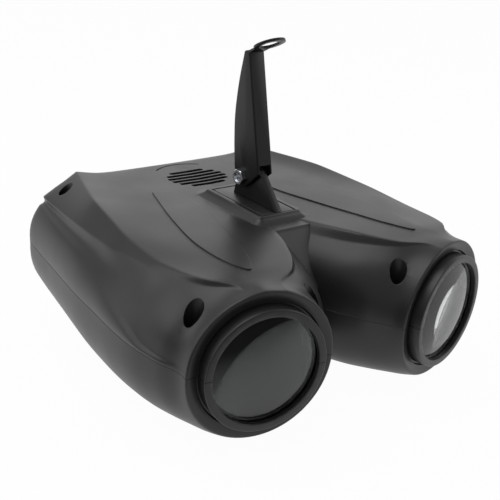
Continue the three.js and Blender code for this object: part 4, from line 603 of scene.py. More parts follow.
def side_plate(outline, x):
    return prism(outline, x, lambda a, b, end: (end, a, b))


def upright_plate(outline, y):
    return prism(outline, y, lambda a, b, end: (a, end, b))


def slab(outline, z):
    return prism(outline, z, lambda a, b, end: (a, b, end))


def circle(radius, steps=ROUND_STEPS, centre=(0, 0)):
    return arc(centre, radius, 0, 2 * math.pi, steps)[:-1]


def post(x, y, z, radius, steps=POST_STEPS):
    return slab(circle(radius, steps, (x, y)), z)


def rod_along_y(x, z, y, radius, steps=ROD_STEPS):
    return upright_plate(circle(radius, steps, (x, z)), y)


def rod_along_x(y, z, x, radius):
    return side_plate(circle(radius, ROD_STEPS, (y, z)), x)


def rounded_outline(half_width, half_height, radius):
    quarter = math.pi / 2
    corners = [(1, 1), (-1, 1), (-1, -1), (1, -1)]
    return [
        point
        for i, (a, b) in enumerate(corners)
        for point in arc(
            (a * (half_width - radius), b * (half_height - radius)),
            radius, i * quarter, (i + 1) * quarter, CORNER_STEPS,
        )
    ]


def lathe(profile, steps=ROUND_STEPS):
    """A solid of revolution about Y from (radius, y) points, ended on the axis or in a loop."""
    on_axis = [r == 0 for r, y in profile]
    corners, rings = [], []
    for (r, y), single in zip(profile, on_axis):
        count = 1 if single else steps
        rings.append(range(len(corners), len(corners) + count))
        turns = [2 * math.pi * i / steps for i in range(count)]
        corners += [(r * math.cos(t), y, r * math.sin(t)) for t in turns]
    faces = []
    pairs = list(zip(rings, rings[1:]))
    if not on_axis[0]:
        pairs.append((rings[-1], rings[0]))
    for a, b in pairs:
        if len(a) == 1 and len(b) == 1:
            continue
        for i in range(steps):
            j = (i + 1) % steps
            quad = [a[i % len(a)], a[j % len(a)], b[j % len(b)], b[i % len(b)]]
            faces.append(tuple(dict.fromkeys(quad)))
    return solid(corners, faces)


EDGE_TURNS = np.linspace(0, math.pi / 2, EDGE_STEPS + 1)


def rounding(radius):
    """A rounded edge's points: how far each is drawn in, and how far along it lies."""
    return [(radius * (1 - math.sin(a)), radius * (1 - math.cos(a))) for a in EDGE_TURNS]


# Turns that take one axis to another
Y_TO_X = Matrix.Rotation(-math.pi / 2, 4, "Z")
Y_TO_Z = Matrix.Rotation(math.pi / 2, 4, "X")
Z_TO_Y = Matrix.Rotation(-math.pi / 2, 4, "X")


def moved(mesh, matrix):
    mesh.transform(matrix)
    return mesh


def shifted(mesh, x, y, z):
    return moved(mesh, Matrix.Translation((x, y, z)))


def on_head(mesh, side):
    """From a head's own frame, with the lens axis along Y, to its place on the housing."""
    turn = Matrix.Rotation(side * HEAD_TURN, 4, "Z")
    return moved(mesh, Matrix.Translation((side * HEAD_SPREAD, 0, 0)) @ turn)


def at_panel(mesh, x, z=0):
    return shifted(mesh, x, PANEL_FACE, z)


def spaced(count, pitch):
    """Places in a row about its middle."""
    return [(i - (count - 1) / 2) * pitch for i in range(count)]


def ring_places(rings):
    return [
        (radius * math.cos(2 * math.pi * i / count), radius * math.sin(2 * math.pi * i / count))
        for count, radius in rings
        for i in range(count)
    ]


def corners_of(half_width, half_depth):
    return [(a * half_width, b * half_depth) for a in (-1, 1) for b in (-1, 1)]


# Shells
BELLY_DEPTH = BELLY_SHARE * NOSE_RADIUS
FOOT_SEAT = -BELLY_DEPTH - FOOT_PAD[2]
BORE_RADIUS = LENS_RADIUS + CLEARANCE
RECESS_BASE = PAD_TOP - PAD_RECESS_DEPTH
PLATE_BASE = RECESS_BASE + SEAT_GAP
PLATE_TOP = PLATE_BASE + PLATE_THICKNESS
STUD_YS = [PLATE_FRONT + STUD_INSET, PLATE_REAR - STUD_INSET]
LEDGE = PANEL_FACE - PANEL_THICKNESS - SEAT_GAP
PANEL_SCREW_X = PANEL_WIDTH / 2 - PANEL_SCREW_INSET
PANEL_SCREW_Z = PANEL_HEIGHT / 2 - PANEL_SCREW_INSET


def screw_places():
    places = []
    for side in SIDES.values():
        for out in (-RECESS_OFFSET, RECESS_OFFSET):
            x = HEAD_SPREAD + out * math.cos(HEAD_TURN) - RECESS_SETBACK * math.sin(HEAD_TURN)
            y = out * math.sin(HEAD_TURN) + RECESS_SETBACK * math.cos(HEAD_TURN)
            places.append((side * x, y, RECESS_RADIUS))
        x, y, radius = REAR_RECESS
        places.append((side * x, y, radius))
    return places


def pad():
    """The raised pad under the bracket, its flanks curving out to the canopy."""
    side, ahead, behind = PAD_FLANKS
    base = PAD_TOP - PAD_EDGE
    rows = [
        (PAD_BOTTOM + (base - PAD_BOTTOM) * f, (1 - f) ** PAD_CURVE, 0)
        for f in np.linspace(0, 1, PAD_ROWS)
    ]
    rows += [
        (base + PAD_EDGE * math.sin(a), 0, PAD_EDGE * (1 - math.cos(a))) for a in EDGE_TURNS[1:]
    ]
    corners = []
    for z, share, inset in rows:
        front, rear = PAD_FRONT - ahead * share + inset, PAD_REAR + behind * share - inset
        half_width = PAD_HALF_WIDTH + side * share - inset
        outline = rounded_outline(half_width, (rear - front) / 2, PAD_CORNER + ahead * share)
        corners += [(x, (front + rear) / 2 + y, z) for x, y in outline]
    count = len(corners) // len(rows)
    faces = [tuple(range(count))[::-1], tuple(range(len(corners) - count, len(corners)))]
    for first in range(0, len(corners) - count, count):
        for i in range(count):
            j = (i + 1) % count
            faces.append((first + i, first + j, first + count + j, first + count + i))
    return solid(corners, faces)


def nose_groove(side):
    end = COVE[-1][1]
    profile = [(0, -OVERRUN), (COVE[0][0], -OVERRUN), *COVE, (0, end)]
    return on_head(lathe(profile), side)


def nose_ring(side):
    edge = [(RING_RADIUS - inset, y) for inset, y in rounding(RING_EDGE)]
    return on_head(lathe([(0, 0), *edge, (RING_RADIUS, RING_LENGTH), (0, RING_LENGTH)]), side)


def lens_opening(side):
    mouth = [(LENS_OPENING_RADIUS + inset, y) for inset, y in rounding(RING_EDGE)]
    end = NOSE_SETBACK + NOSE_WALL + OVERRUN
    profile = [
        (0, -OVERRUN), (mouth[0][0], -OVERRUN), *mouth, (LENS_OPENING_RADIUS, LENS_LIP),
        (BORE_RADIUS, LENS_LIP), (BORE_RADIUS, end), (0, end),
    ]
    return on_head(lathe(profile), side)


def fan_stands():
    offset, hole = FAN_HOLE
    pin = hole - CLEARANCE
    under = FAN_TOP - FAN_DEPTH - SEAT_GAP
    stands = []
    for x, y in corners_of(offset, offset):
        stands += [
            post(x, VENT_CENTRE + y, (FAN_TOP + SEAT_GAP, NOSE_RADIUS), FAN_STAND_RADIUS),
            post(x, VENT_CENTRE + y, (under - FAN_STAKE_HEIGHT / 2, NOSE_RADIUS), pin),
            post(x, VENT_CENTRE + y, (under - FAN_STAKE_HEIGHT, under), FAN_STAND_RADIUS),
        ]
    return stands


def panel_bosses(end):
    radius, length = PANEL_BOSS
    return [
        rod_along_y(side * PANEL_SCREW_X, end * PANEL_SCREW_Z, (LEDGE - length, LEDGE), radius)
        for side in SIDES.values()
    ]


def panel_cuts():
    seat = rounded_outline(PANEL_WIDTH / 2 + CLEARANCE, PANEL_HEIGHT / 2 + CLEARANCE, PANEL_CORNER)
    across = either_way(PANEL_WIDTH / 2 - PANEL_LEDGE)
    upwards = either_way(PANEL_HEIGHT / 2 - PANEL_LEDGE)
    radius, length = PANEL_SCREW[2:]
    holes = [
        rod_along_y(x, z, (LEDGE - length, FAR), radius + CLEARANCE, SMALL_STEPS)
        for x, z in corners_of(PANEL_SCREW_X, PANEL_SCREW_Z)
    ]
    opening = box(across, (BODY_DEPTH - REAR_WALL, FAR), upwards)
    return [upright_plate(seat, (LEDGE, FAR)), opening, *holes]


def slot_cut(half_length, width, z, x, y):
    """A slot through a shell, its corners rounded."""
    outline = rounded_outline(half_length, width / 2, width / 2 - EDGE)
    return shifted(slab(outline, z), x, y, 0)


def vent_slots():
    slots = []
    for y in spaced(VENT_SLOTS, VENT_SLOT_PITCH):
        reach = VENT_HALF_WIDTH * math.sqrt(1 - (y / VENT_HALF_DEPTH) ** 2)
        slots.append(slot_cut(reach, VENT_SLOT_WIDTH, (CANOPY_BELOW, FAR), 0, VENT_CENTRE + y))
    return slots


def intake_slots():
    length, width = INTAKE_SLOT
    return [
        slot_cut(length / 2, width, (-FAR, FOOT_PAD[1]), side * INTAKE_X, INTAKE_Y + y)
        for side in SIDES.values()
        for y in spaced(INTAKE_SLOTS, INTAKE_PITCH)
    ]


def sunk(shape, surface, depth):
    """The part of a shape that lies above a surface lowered by a depth."""
    return combined(shape, shifted(surface.copy(), 0, 0, -depth), "DIFFERENCE")


def raised(shape, surface, height):
    """The part of a shape that lies under a surface lifted by a height."""
    return combined(shape, shifted(surface.copy(), 0, 0, height), "INTERSECT")


def arc_groove():
    start, end = math.pi / 2 - ARC_HALF_ANGLE, math.pi / 2 + ARC_HALF_ANGLE
    outer = arc((0, VENT_CENTRE), ARC_RADIUS, start, end, ARC_STEPS)
    inner = arc((0, VENT_CENTRE), ARC_RADIUS - ARC_WIDTH, end, start, ARC_STEPS)
    return slab([*outer, *inner], (CANOPY_BELOW, FAR))


def leaf_panel(side):
    rows = [*LEAF_OUTER_SHARES, *LEAF_INNER_SHARES]
    points = [np.array((side * x * BODY_HALF_WIDTH, y * BODY_DEPTH)) for x, y in rows]
    places = np.linspace(0, len(points) - 1, LEAF_POINTS)
    return slab([tuple(catmull(points, p)) for p in places], (LEAF_BELOW, FAR))


def foot_places():
    """Where each foot stands, and its name."""
    return [
        (side * x, y, f"foot_{end}_{label}") for label, side in SIDES.items() for x, y, end in FEET
    ]


def upper_fittings():
    half, *span = PAD_BACKING
    tubes = [post(x, y, (0, PAD_TOP), radius + RECESS_WALL) for x, y, radius in screw_places()]
    backing = box(either_way(half), (PAD_FRONT, PAD_REAR), span)
    return joined([*tubes, backing, *fan_stands(), *panel_bosses(1)])


def upper_cuts(surface):
    bores = []
    for x, y, radius in screw_places():
        bores.append(post(x, y, (RECESS_FLOOR, FAR), radius, ROD_STEPS))
        bores.append(post(x, y, (-OVERRUN, RECESS_FLOOR + OVERRUN), SCREW_RADIUS + CLEARANCE))
    across = either_way(PLATE_HALF_WIDTH + PAD_SLIT)
    recess = box(across, (PLATE_FRONT - PAD_SLIT, PLATE_REAR + PAD_SLIT), (RECESS_BASE, FAR))
    studs = [post(0, y, (STUD_BOTTOM, PAD_TOP), STUD_RADIUS + CLEARANCE) for y in STUD_YS]
    groove = sunk(arc_groove(), surface, ARC_DEPTH)
    return [*bores, recess, *studs, *vent_slots(), groove, *panel_cuts()]


def lower_fittings():
    bosses = [post(x, y, (-BELLY_DEPTH, 0), BOSS_RADIUS) for x, y, _ in screw_places()]
    return joined([*bosses, *panel_bosses(-1)])


def lower_cuts():
    depth = SCREW_LENGTH - RECESS_FLOOR + OVERRUN
    bores = [post(x, y, (-depth, OVERRUN), SCREW_RADIUS + CLEARANCE) for x, y, _ in screw_places()]
    stems = [
        post(x, y, (-FAR, FOOT_PAD[1] + OVERRUN), FOOT_STEM[0] + CLEARANCE)
        for x, y, _ in foot_places()
    ]
    return [*bores, *stems, *intake_slots(), *panel_cuts()]


def shells():
    """Both shells: the skin with its hollow, noses, fittings and openings, split at the seam."""
    sides = SIDES.values()
    everywhere = either_way(FAR)
    web = side_plate(WEB_OUTLINE, either_way(WEB_HALF_WIDTH))
    hollow = side_plate(WEB_HOLLOW, either_way(WEB_HOLLOW_HALF_WIDTH))
    surface = joined([outer_skin(), web])
    leaves = [raised(leaf_panel(side), surface, LEAF_RISE) for side in sides]
    whole = joined([surface, pad(), *leaves])
    grooves = [nose_groove(side) for side in sides]
    shell = cut(whole, [joined([cavity(), hollow]), *grooves])
    seat, radius = (FOOT_SEAT, FOOT_PAD[1]), FOOT_PAD[0]
    pads = [post(x, y, seat, radius, WIDE_STEPS) for x, y, _ in foot_places()]
    shell = joined([shell, *(nose_ring(side) for side in sides), *pads])
    shell = cut(shell, [lens_opening(side) for side in sides])
    inside = cut(whole, grooves)
    half = SEAM_GAP / 2
    halves = (
        (upper_fittings(), upper_cuts(surface), (half, FAR)),
        (lower_fittings(), lower_cuts(), (-FAR, -half)),
    )
    result = []
    for fittings, cuts, height in halves:
        part = joined([shell, combined(fittings, inside, "INTERSECT")])
        part = combined(part, box(everywhere, everywhere, height), "INTERSECT")
        result.append(cut(part, cuts))
    return result


# Lenses and their optics
def crown(radius, edge, rise, steps):
    return [(radius * i / steps, edge - rise * (1 - (i / steps) ** 2)) for i in range(steps + 1)]


def lens():
    front = LENS_LIP + CLEARANCE
    back = front + LENS_EDGE
    inner = LENS_OPENING_RADIUS - CLEARANCE
    rim = [(LENS_RADIUS, front), (LENS_RADIUS, back)]
    face = crown(inner, front, LENS_CROWN, PIN_STEPS)
    rear = crown(inner, back, -LENS_BACK_CROWN, SMALL_STEPS)
    return lathe([*face, *rim, *reversed(rear)])


def lens_ring():
    inner = LENS_RADIUS - LENS_RING_WIDTH
    front, back = LENS_LIP + LENS_EDGE + 2 * CLEARANCE, RING_LENGTH
    ring = lathe([(inner, front), (LENS_RADIUS, front), (LENS_RADIUS, back), (inner, back)])
    return softened(ring, EDGE)


def lens_array():
    back = BOARD_SETBACK - ARRAY_STANDOFF
    front = back - ARRAY_THICKNESS
    disc = softened(rod_along_y(0, 0, (front, back), ARRAY_RADIUS, ROUND_STEPS), EDGE)
    legs = [
        rod_along_y(x, z, (back - EDGE, BOARD_SETBACK - SEAT_GAP), ARRAY_LEG_RADIUS, PIN_STEPS)
        for x, z in ring_places([(4, ARRAY_LEG_CIRCLE)])
    ]
    seat = front + EDGE
    profile = [*crown(LENSLET_RADIUS, seat, LENSLET_CROWN + EDGE, LENSLET_STEPS), (0, seat)]
    domes = [shifted(lathe(profile, POST_STEPS), x, 0, z) for x, z in ring_places(LED_RINGS)]
    return joined([disc, *legs, *domes])


def led_board():
    """A round board whose LEDs stand on its front, each with a well for its chip."""
    half = LED_SIZE / 2
    sheet = (BOARD_SETBACK, BOARD_SETBACK + BOARD_THICKNESS)
    face = BOARD_SETBACK - LED_HEIGHT
    well = (face - OVERRUN, BOARD_SETBACK - LED_HEIGHT / 2)
    leds, wells = [], []
    for x, z in ring_places(LED_RINGS):
        leds.append(box((x - half, x + half), (face, BOARD_SETBACK + EDGE), (z - half, z + half)))
        wells.append(rod_along_y(x, z, well, LED_CHIP, PIN_STEPS))
    disc = rod_along_y(0, 0, sheet, BOARD_RADIUS, ROUND_STEPS)
    return softened(cut(joined([disc, *leds]), wells), EDGE / 2)


# Bracket, arm and bolt
def bracket_fin():
    """The folded fin that carries the pivot, open behind and below."""
    half = FIN_WIDTH / 2
    head = arc((PIVOT.y, PIVOT.z), FIN_TOP_Z - PIVOT.z, math.pi / 2, 0, SMALL_STEPS)
    outline = [(PLATE_FRONT, PLATE_TOP), (FIN_TOP_Y, FIN_TOP_Z), *head, (FIN_REAR_Y, PLATE_TOP)]
    run, rise = FIN_TOP_Y - PLATE_FRONT, FIN_TOP_Z - PLATE_TOP
    shift = FIN_SHEET * math.hypot(run, rise) / rise
    above, below = FIN_TOP_Z + OVERRUN, PLATE_TOP - OVERRUN
    hollow = [
        (PLATE_FRONT + shift, below), (PLATE_FRONT + shift, PLATE_TOP),
        (FIN_TOP_Y + shift + OVERRUN * run / rise, above), (FAR, above), (FAR, below),
    ]
    return cut(softened(side_plate(outline, either_way(half)), EDGE * 2, 3), [
        side_plate(hollow, (FIN_SHEET - half, half - FIN_SHEET)),
        rod_along_x(PIVOT.y, PIVOT.z, either_way(ARM_WIDTH), BOLT_RADIUS + CLEARANCE),
    ])


def bracket_plate():
    across = either_way(PLATE_HALF_WIDTH)
    plate = box(across, (PLATE_FRONT, PLATE_REAR), (PLATE_BASE, PLATE_TOP))
    studs = [post(0, y, (STUD_BOTTOM, PLATE_BASE + EDGE), STUD_RADIUS) for y in STUD_YS]
    return joined([softened(plate, EDGE), *studs])


def hanger_arm():
    """The arm about its pivot: a folded channel with an eye at its end."""
    half = ARM_WIDTH / 2
    front = -ARM_FRONT_OFFSET
    shares = np.linspace(ARM_EDGE_SHARES[0][0], 1, ARM_EDGE_STEPS)
    edge = [(front + along(ARM_EDGE_SHARES, s, 1) * ARM_DEPTH, s * ARM_LENGTH) for s in shares]
    heel = arc((0, 0), ARM_END_RADIUS, *ARM_HEEL_ANGLES, PIN_STEPS)
    outline = [(front, ARM_LENGTH), (front, ARM_WEB_START - ARM_TOE), *heel, *edge]
    inner = (ARM_SHEET - half, half - ARM_SHEET)
    channel = cut(softened(side_plate(outline, either_way(half)), ARM_BEND, 4), [
        softened(box(inner, (front + ARM_SHEET, FAR), either_way(FAR)), EDGE * 2, 3),
        box(inner, (front - OVERRUN, FAR), (-FAR, ARM_WEB_START)),
        rod_along_x(0, 0, either_way(ARM_WIDTH), BOLT_RADIUS + CLEARANCE),
    ])
    rise = TAB_RISE - ARM_LEAN
    across = Vector((1, 0, 0))
    forward = Vector((0, -math.cos(rise), math.sin(rise)))
    upward = Vector((0, math.sin(rise), math.cos(rise)))
    fold = Matrix((across, forward, upward)).transposed().to_4x4()
    fold.translation = (0, front, ARM_LENGTH)
    sheet = (-ARM_SHEET, 0)
    ring = post(0, TAB_REACH, sheet, TAB_RING_RADIUS, ROUND_STEPS)
    tab = joined([box(either_way(half), (-TAB_ROOT, TAB_REACH), sheet), ring])
    hole = post(0, TAB_REACH, (-ARM_SHEET - OVERRUN, OVERRUN), TAB_HOLE_RADIUS, WIDE_STEPS)
    tab = softened(cut(tab, [hole]), EDGE)
    return joined([channel, moved(tab, fold)])


def chamfered_hex(radius, ends, both=False):
    """A hexagonal head along X whose corners are turned off at its outer end, or at both."""
    low, high = ends
    flat = radius * math.cos(math.pi / 6)
    drop = (radius - flat) * HEX_CHAMFER_SHARE
    first = [(flat, low), (radius, low + drop)]
    last = [(radius, high - drop), (flat, high)] if both else [(radius, high)]
    limit = moved(lathe([(0, low), *first, *last, (0, high)]), Y_TO_X)
    return combined(side_plate(circle(radius, 6), ends), limit, "INTERSECT")


def pivot_bolt():
    radius, height = BOLT_HEAD
    dish, dish_depth = BOLT_DISH
    slot, length, depth = BOLT_CROSS
    seat = -ARM_WIDTH / 2 - SEAT_GAP
    outer = seat - height
    end = ARM_WIDTH / 2 + NUT[1] + BOLT_PROUD
    head = chamfered_hex(radius, (outer, seat))
    shank = thread(BOLT_RADIUS, (seat - depth / 2, end))
    bowl = rod_along_x(0, 0, (outer - OVERRUN, outer + dish_depth), dish)
    recess = (outer - OVERRUN, outer + dish_depth + depth)
    narrow, wide = either_way(slot), either_way(length)
    cross = [box(recess, narrow, wide), box(recess, wide, narrow)]
    return softened(cut(joined([head, shank]), [bowl, *cross]), EDGE / 2, 2, BOLT_EDGE_ANGLE)


def thread(radius, ends):
    """A threaded shank along X, as rings of one pitch."""
    low, high = ends
    turns = int((high - low) / THREAD_PITCH)
    step = (high - low) / turns
    root = radius - THREAD_PITCH * THREAD_DEPTH_SHARE
    profile = [(0, low)]
    for i in range(turns):
        start = low + i * step
        profile += [(root, start), (radius, start + step / 2)]
    profile += [(root, high), (0, high)]
    return moved(lathe(profile, POST_STEPS), Y_TO_X)


def pivot_nut():
    radius, height = NUT
    inner = ARM_WIDTH / 2 + SEAT_GAP
    nut = chamfered_hex(radius, (inner, inner + height), both=True)
    return cut(nut, [rod_along_x(0, 0, (0, ARM_WIDTH * 2), BOLT_RADIUS + CLEARANCE)])


# Screws, controls and feet
def cross_screw(radius, height, shank, length):
    """A pan-head screw along Z with its head standing on z = 0."""
    rim, rise = SCREW_DOME_SHARES
    dome = [
        (radius * math.sin(a), height * (rim + rise * math.cos(a)))
        for a in np.linspace(0, math.pi / 2, CORNER_STEPS + 1)
    ]
    profile = [*dome, (radius, SEAT_GAP), (shank, SEAT_GAP), (shank, -length), (0, -length)]
    slot, reach, base = SCREW_CROSS_SHARES
    narrow, wide = either_way(radius * slot), either_way(radius * reach)
    depth = (height * base, height + OVERRUN)
    body = moved(lathe(profile, ROD_STEPS), Y_TO_Z)
    return cut(body, [box(narrow, wide, depth), box(wide, narrow, depth)])


def ribbed(radius, depth, count):
    """A circle with a row of ribs round it."""
    total = count * CORNER_STEPS
    points = []
    for i in range(total):
        reach = radius - depth * (0.5 + 0.5 * math.cos(2 * math.pi * i / CORNER_STEPS))
        turn = 2 * math.pi * i / total
        points.append((reach * math.cos(turn), reach * math.sin(turn)))
    return points


def fuse_holder():
    cap, body, proud, depth = FUSE
    slot, reach, slot_depth = FUSE_SLOT
    knurl = upright_plate(ribbed(cap, KNOB_RIB, FUSE_RIBS), (SEAT_GAP, proud))
    knurl = softened(knurl, EDGE, 2, RIB_EDGE_ANGLE)
    holder = joined([rod_along_y(0, 0, (-depth, proud / 2), body), knurl])
    groove = box(either_way(reach), (proud - slot_depth, proud + OVERRUN), either_way(slot))
    return cut(holder, [groove])


def sensitivity_knob():
    radius, length = KNOB
    pointer, pointer_depth, pointer_length = KNOB_POINTER
    shaft, shaft_length = DIAL_SHAFT
    grip = upright_plate(ribbed(radius, KNOB_RIB, KNOB_RIBS), (KNOB_GAP, length))
    grip = softened(grip, EDGE * 2, 3, RIB_EDGE_ANGLE)
    hollow = rod_along_y(0, 0, (-OVERRUN, DIAL_NUT_HEIGHT + KNOB_GAP), radius - KNOB_SHELL)
    bore = rod_along_y(0, 0, (-OVERRUN, shaft_length + CLEARANCE), shaft + CLEARANCE)
    front = (length - pointer_depth, length + OVERRUN)
    mark = box(either_way(pointer), front, (0, pointer_length))
    return cut(grip, [hollow, bore, mark])


def foot():
    """A rubber foot with its top at z = 0, ringed underneath, and a stem into the housing."""
    stem, length = FOOT_STEM
    groove = FOOT_EDGE / 2
    base = [(0, -FOOT_HEIGHT)]
    for radius in FOOT_RINGS:
        base += [
            (radius - groove, -FOOT_HEIGHT), (radius, groove - FOOT_HEIGHT),
            (radius + groove, -FOOT_HEIGHT),
        ]
    edge = [(FOOT_RADIUS - inset, y - FOOT_HEIGHT) for inset, y in rounding(FOOT_EDGE)]
    profile = [
        *base, *edge, (FOOT_RADIUS, -SEAT_GAP), (stem, -SEAT_GAP), (stem, length), (0, length),
    ]
    return moved(lathe(profile, WIDE_STEPS), Y_TO_Z)


# Materials: scales are in features per millimetre, depths and radii in millimetres
NOISE_RANGE = (0.3, 0.7)
EDGE_SAMPLES = 6
VARIATION_SHARE = 0.06
PATCH_SCALE = 0.03
PATCH_ROUGHNESS_SHARES = (0.92, 1.08)
GRAIN_STRENGTH = 0.35
GLASS_INDEX = 1.52
SMEAR_SCALE = 0.05
LINE_SCALE = 1.2
LINE_STRETCH = (8, 1, 1)
LINE_ROUGHNESS_SHARES = (0.7, 1.3)
LINE_BUMP = (0.2, 0.02, 0.15)  # strength, depth and rounding of edges
PLATING_SCALE = 0.3
PLATING_VARIATION_SHARE = 0.1
TRACK_SCALE = 0.12
TRACK_WIDTH_SHARE = 0.06
TRACK_SHADE_SHARE = 0.85
RESIST_SCALE = 0.8
RESIST_ROUGHNESS = (0.3, 0.5)
RESIST_BUMP = (0.2, 0.05)  # strength and depth


def shader(name):
    """A new material, its tree of nodes and its surface."""
    made = bpy.data.materials.new(name)
    made.use_nodes = True
    return made, made.node_tree, made.node_tree.nodes["Principled BSDF"]


def fill(tree, target, inputs):
    """Gives a node's inputs their values, or links them to other nodes' outputs."""
    for key, value in inputs.items():
        if isinstance(value, bpy.types.NodeSocket):
            tree.links.new(value, target.inputs[key])
        else:
            target.inputs[key].default_value = value


def node(tree, kind, inputs=None, **settings):
    """A new node with its settings and inputs."""
    made = tree.nodes.new(f"ShaderNode{kind}")
    for key, value in settings.items():
        setattr(made, key, value)
    fill(tree, made, inputs or {})
    return made


def noise(tree, scale, detail=3, stretch=None):
    """Noise over the object's own coordinates."""
    source = node(tree, "TexCoord").outputs["Object"]
    if stretch:
        source = node(tree, "Mapping", {"Vector": source, "Scale": stretch}).outputs["Vector"]
    inputs = {"Vector": source, "Scale": scale / MM, "Detail": detail}
    return node(tree, "TexNoise", inputs).outputs["Fac"]


def mapped(tree, value, before, after, **settings):
    """A value taken from one range to another."""
    ends = zip(("From Min", "From Max", "To Min", "To Max"), (*before, *after))
    return node(tree, "MapRange", {"Value": value, **dict(ends)}, **settings).outputs["Result"]


def varied(tree, value, middle, shares):
    """A number that varies with a value between two shares of its middle."""
    return mapped(tree, value, NOISE_RANGE, [middle * share for share in shares])


def shaded(tree, value, colour, variation):
    """A colour that varies with a value."""
    dark, light = ((*(c * part for c in colour), 1) for part in (1 - variation, 1 + variation))
    inputs = {"Factor": value, "A": dark, "B": light}
    return node(tree, "Mix", inputs, data_type="RGBA").outputs["Result"]


def bumped(tree, value, strength, depth, edge=0):
    """A bump of a real depth, over edges rounded by a radius."""
    inputs = {"Height": value, "Strength": strength, "Distance": depth * MM}
    if edge:
        rounded = node(tree, "Bevel", {"Radius": edge * MM}, samples=EDGE_SAMPLES)
        inputs["Normal"] = rounded.outputs["Normal"]
    return node(tree, "Bump", inputs).outputs["Normal"]


def coated(name, colour, roughness, grain, depth, specular=0.5, metallic=0, edge=0):
    """A finish with a fine grain, patches of colour and roughness, and softened edges."""
    made, tree, surface = shader(name)
    patches = noise(tree, PATCH_SCALE, detail=4)
    fine = noise(tree, grain, detail=2)
    fill(tree, surface, {
        "Metallic": metallic,
        "Specular IOR Level": specular,
        "Base Color": shaded(tree, patches, colour, VARIATION_SHARE),
        "Roughness": varied(tree, patches, roughness, PATCH_ROUGHNESS_SHARES),
        "Normal": bumped(tree, fine, GRAIN_STRENGTH, depth, edge),
    })
    return made


def glass(name, tint, roughness, coat_tint):
    """Clear glass with an anti-reflection coat."""
    made, tree, surface = shader(name)
    smears = noise(tree, SMEAR_SCALE, detail=5)
    fill(tree, surface, {
        "Transmission Weight": 1,
        "IOR": GLASS_INDEX,
        "Specular Tint": (*coat_tint, 1),
        "Roughness": roughness,
        "Base Color": shaded(tree, smears, tint, VARIATION_SHARE),
    })
    return made


def brushed(name, colour, roughness):
    """Plated metal with fine drawn lines."""
    made, tree, surface = shader(name)
    lines = noise(tree, LINE_SCALE, stretch=LINE_STRETCH)
    fill(tree, surface, {
        "Metallic": 1,
        "Base Color": shaded(tree, noise(tree, PLATING_SCALE), colour, PLATING_VARIATION_SHARE),
        "Roughness": varied(tree, lines, roughness, LINE_ROUGHNESS_SHARES),
        "Normal": bumped(tree, lines, *LINE_BUMP),
    })
    return made


def circuit(name, colour, copper):
    """A circuit board: solder resist over faint tracks."""
    made, tree, surface = shader(name)
    fine = noise(tree, RESIST_SCALE)
    tracks = node(tree, "TexBrick", {
        "Vector": node(tree, "TexCoord").outputs["Object"],
        "Scale": TRACK_SCALE / MM,
        "Mortar Size": TRACK_WIDTH_SHARE,
        "Color1": (*colour, 1),
        "Color2": (*(c * TRACK_SHADE_SHARE for c in colour), 1),
        "Mortar": (*copper, 1),
    })
    fill(tree, surface, {
        "Base Color": tracks.outputs["Color"],
        "Roughness": mapped(tree, fine, NOISE_RANGE, RESIST_ROUGHNESS),
        "Normal": bumped(tree, fine, *RESIST_BUMP),
    })
    return made


# The finish for each of the record's slots
FINISHES = {
    "housing_plastic": coated("moulded_plastic", (0.0145, 0.0143, 0.014), 0.37, 1.6, 0.05, edge=0.6),
    "black_plastic": coated("black_plastic", (0.008, 0.008, 0.0083), 0.4, 2, 0.04, edge=0.3),
    "black_paint": coated(
        "black_paint", (0.0055, 0.0055, 0.0057), 0.36, 0.9, 0.03, specular=0.35, edge=0.4
    ),
    "black_steel": coated("black_steel", (0.02, 0.02, 0.021), 0.35, 1.5, 0.03, metallic=0.6, edge=0.2),
    "zinc": brushed("bright_zinc", (0.72, 0.74, 0.77), 0.22),
    "lens_glass": glass("lens_glass", (0.76, 0.78, 0.77), 0, (0.96, 1, 0.98)),
    "clear_lens": glass("clear_lens", (0.92, 0.93, 0.93), 0.12, (1, 1, 1)),
    "led_board": coated("white_board", (0.62, 0.62, 0.6), 0.45, 1.2, 0.03),
    "circuit_board": circuit("green_board", (0.012, 0.085, 0.035), (0.05, 0.16, 0.07)),
    "rubber": coated("rubber", (0.012, 0.012, 0.012), 0.75, 1.5, 0.1, specular=0.3, edge=0.3),
    "red_light": coated("red_light", (0.35, 0.01, 0.01), 0.2, 1.2, 0.02, edge=0.1),
}


# The object
def add(name, mesh, slot, stands_for, body="housing"):
    """A finished piece in its place in the frame, riding on its body and standing for CAD nodes."""
    mesh.transform(Matrix.Scale(MM, 4) @ Matrix.Translation(ORIGIN))
    mesh.materials.clear()
    mesh.materials.append(FINISHES[slot])
    mesh.shade_smooth()
    mesh.set_sharp_from_angle(angle=SMOOTH_ANGLE)
    mesh.name = name
    made = linked(name, mesh)
    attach(made, body)
    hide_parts(*stands_for)


def dress(kept, slot):
    """A CAD node that keeps its shape gets its finish and rounded edges."""
    weld = kept.modifiers.new("weld", "WELD")
    weld.merge_threshold = SEAT_GAP * MM / 4
    edges = kept.modifiers.new("edges", "BEVEL")
    edges.width, edges.segments = EDGE * MM, 2
    edges.limit_method, edges.angle_limit = "ANGLE", KEPT_EDGE_ANGLE
    for held in kept.material_slots:
        held.material = FINISHES[slot]


